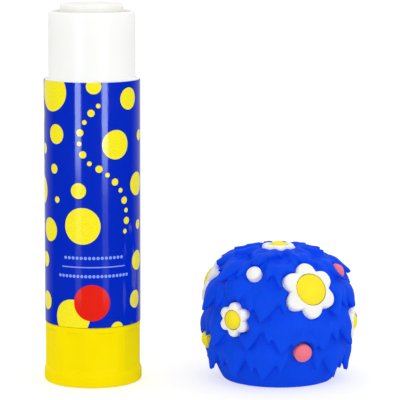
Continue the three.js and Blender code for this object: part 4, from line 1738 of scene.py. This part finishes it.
    def in_one_piece(self, mesh: bpy.types.Mesh) -> bpy.types.Mesh:
        """Clears away crumbs that a cut has left beside the largest piece of a mesh.

        Args:
            mesh: The mesh, which is changed.

        Returns:
            The same mesh.
        """
        with opened(mesh) as shape:
            pieces: list[list[bmesh.types.BMVert]] = []
            seen: set[bmesh.types.BMVert] = set()
            for start in shape.verts:
                if start in seen:
                    continue
                seen.add(start)
                pieces.append([start])
                for vertex in pieces[-1]:
                    others = {edge.other_vert(vertex) for edge in vertex.link_edges} - seen
                    seen |= others
                    pieces[-1] += others
            pieces.sort(key=len)
            for piece in pieces[:-1]:
                bmesh.ops.delete(shape, geom=piece, context="VERTS")
        log.info("cap skin: %d crumbs cleared", len(pieces) - 1)
        return mesh

    def in_triangles(self, mesh: bpy.types.Mesh) -> bpy.types.Mesh:
        """Splits a mesh into triangles, so that no later split folds a sliver double."""
        with opened(mesh) as shape:
            bmesh.ops.triangulate(shape, faces=shape.faces)
        return mesh

    def holes(self, steps: Sequence[Pair]) -> Sketch:
        """Draws a hole for every inlay, each wider by given steps going up.

        Args:
            steps: How much wider than the inlay, and at what height over the smooth body.

        Returns:
            The closed forms of the holes.
        """
        tools = Sketch()
        lids = [(0, 0, steps[0][1]), (0, 0, steps[-1][1])]
        for inlay in (*FLOWERS, *DOTS):
            radius = inlay.radius(self.form)
            rings = [
                ring_of(self.pocket_columns, lambda turn: radius * inlay.edge(turn) + wider, height)
                for wider, height in steps
            ]
            tools.add(Sketch.lofted(rings, lids).moved(inlay.placed(self.form)))
        return tools

    def hollow(self) -> Sketch:
        """Draws the space for the liner, and everything below the table."""
        below = [(0, -3), (25, -3), (25, 0)]
        return Sketch.turned([*below, *self.liner.outline(grown=self.liner_gap)], 128)

    def build(self) -> None:
        """Builds the shell."""
        dished = self.cut(self.grown(), self.holes(self.dish))
        soft = self.softened(self.in_one_piece(self.reskinned(dished)))
        mesh = self.in_triangles(self.cut(self.cut(soft, self.holes(self.pocket)), self.hollow()))
        mesh.transform(Matrix.Translation((self.form.stands_at * MM, 0, 0)))
        mesh.materials.clear()
        blue = [vinyl(VinylColour.BLUE)]
        place_piece("cap_tufts", mesh, blue, Body.CAP, "cap_shell", crease=55)


def main() -> None:
    """Builds the scene, piece by piece."""
    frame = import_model()
    bpy.context.scene.view_settings.view_transform = "Standard"
    PhotoCamera().build()
    StudioStage().build()
    Barrel().build()
    DottedLabel().build()
    TwistKnob().build()
    GlueBlock().build()
    FeedMechanism().dress(frame["nodes"])
    form = CapForm()
    liner = CapLiner(form)
    TuftedCap(form, liner).build()
    liner.build()
    CapInlays(form).build()


if __name__ == "__main__":
    logging.basicConfig(level=logging.INFO, format="%(name)s: %(message)s")
    main()
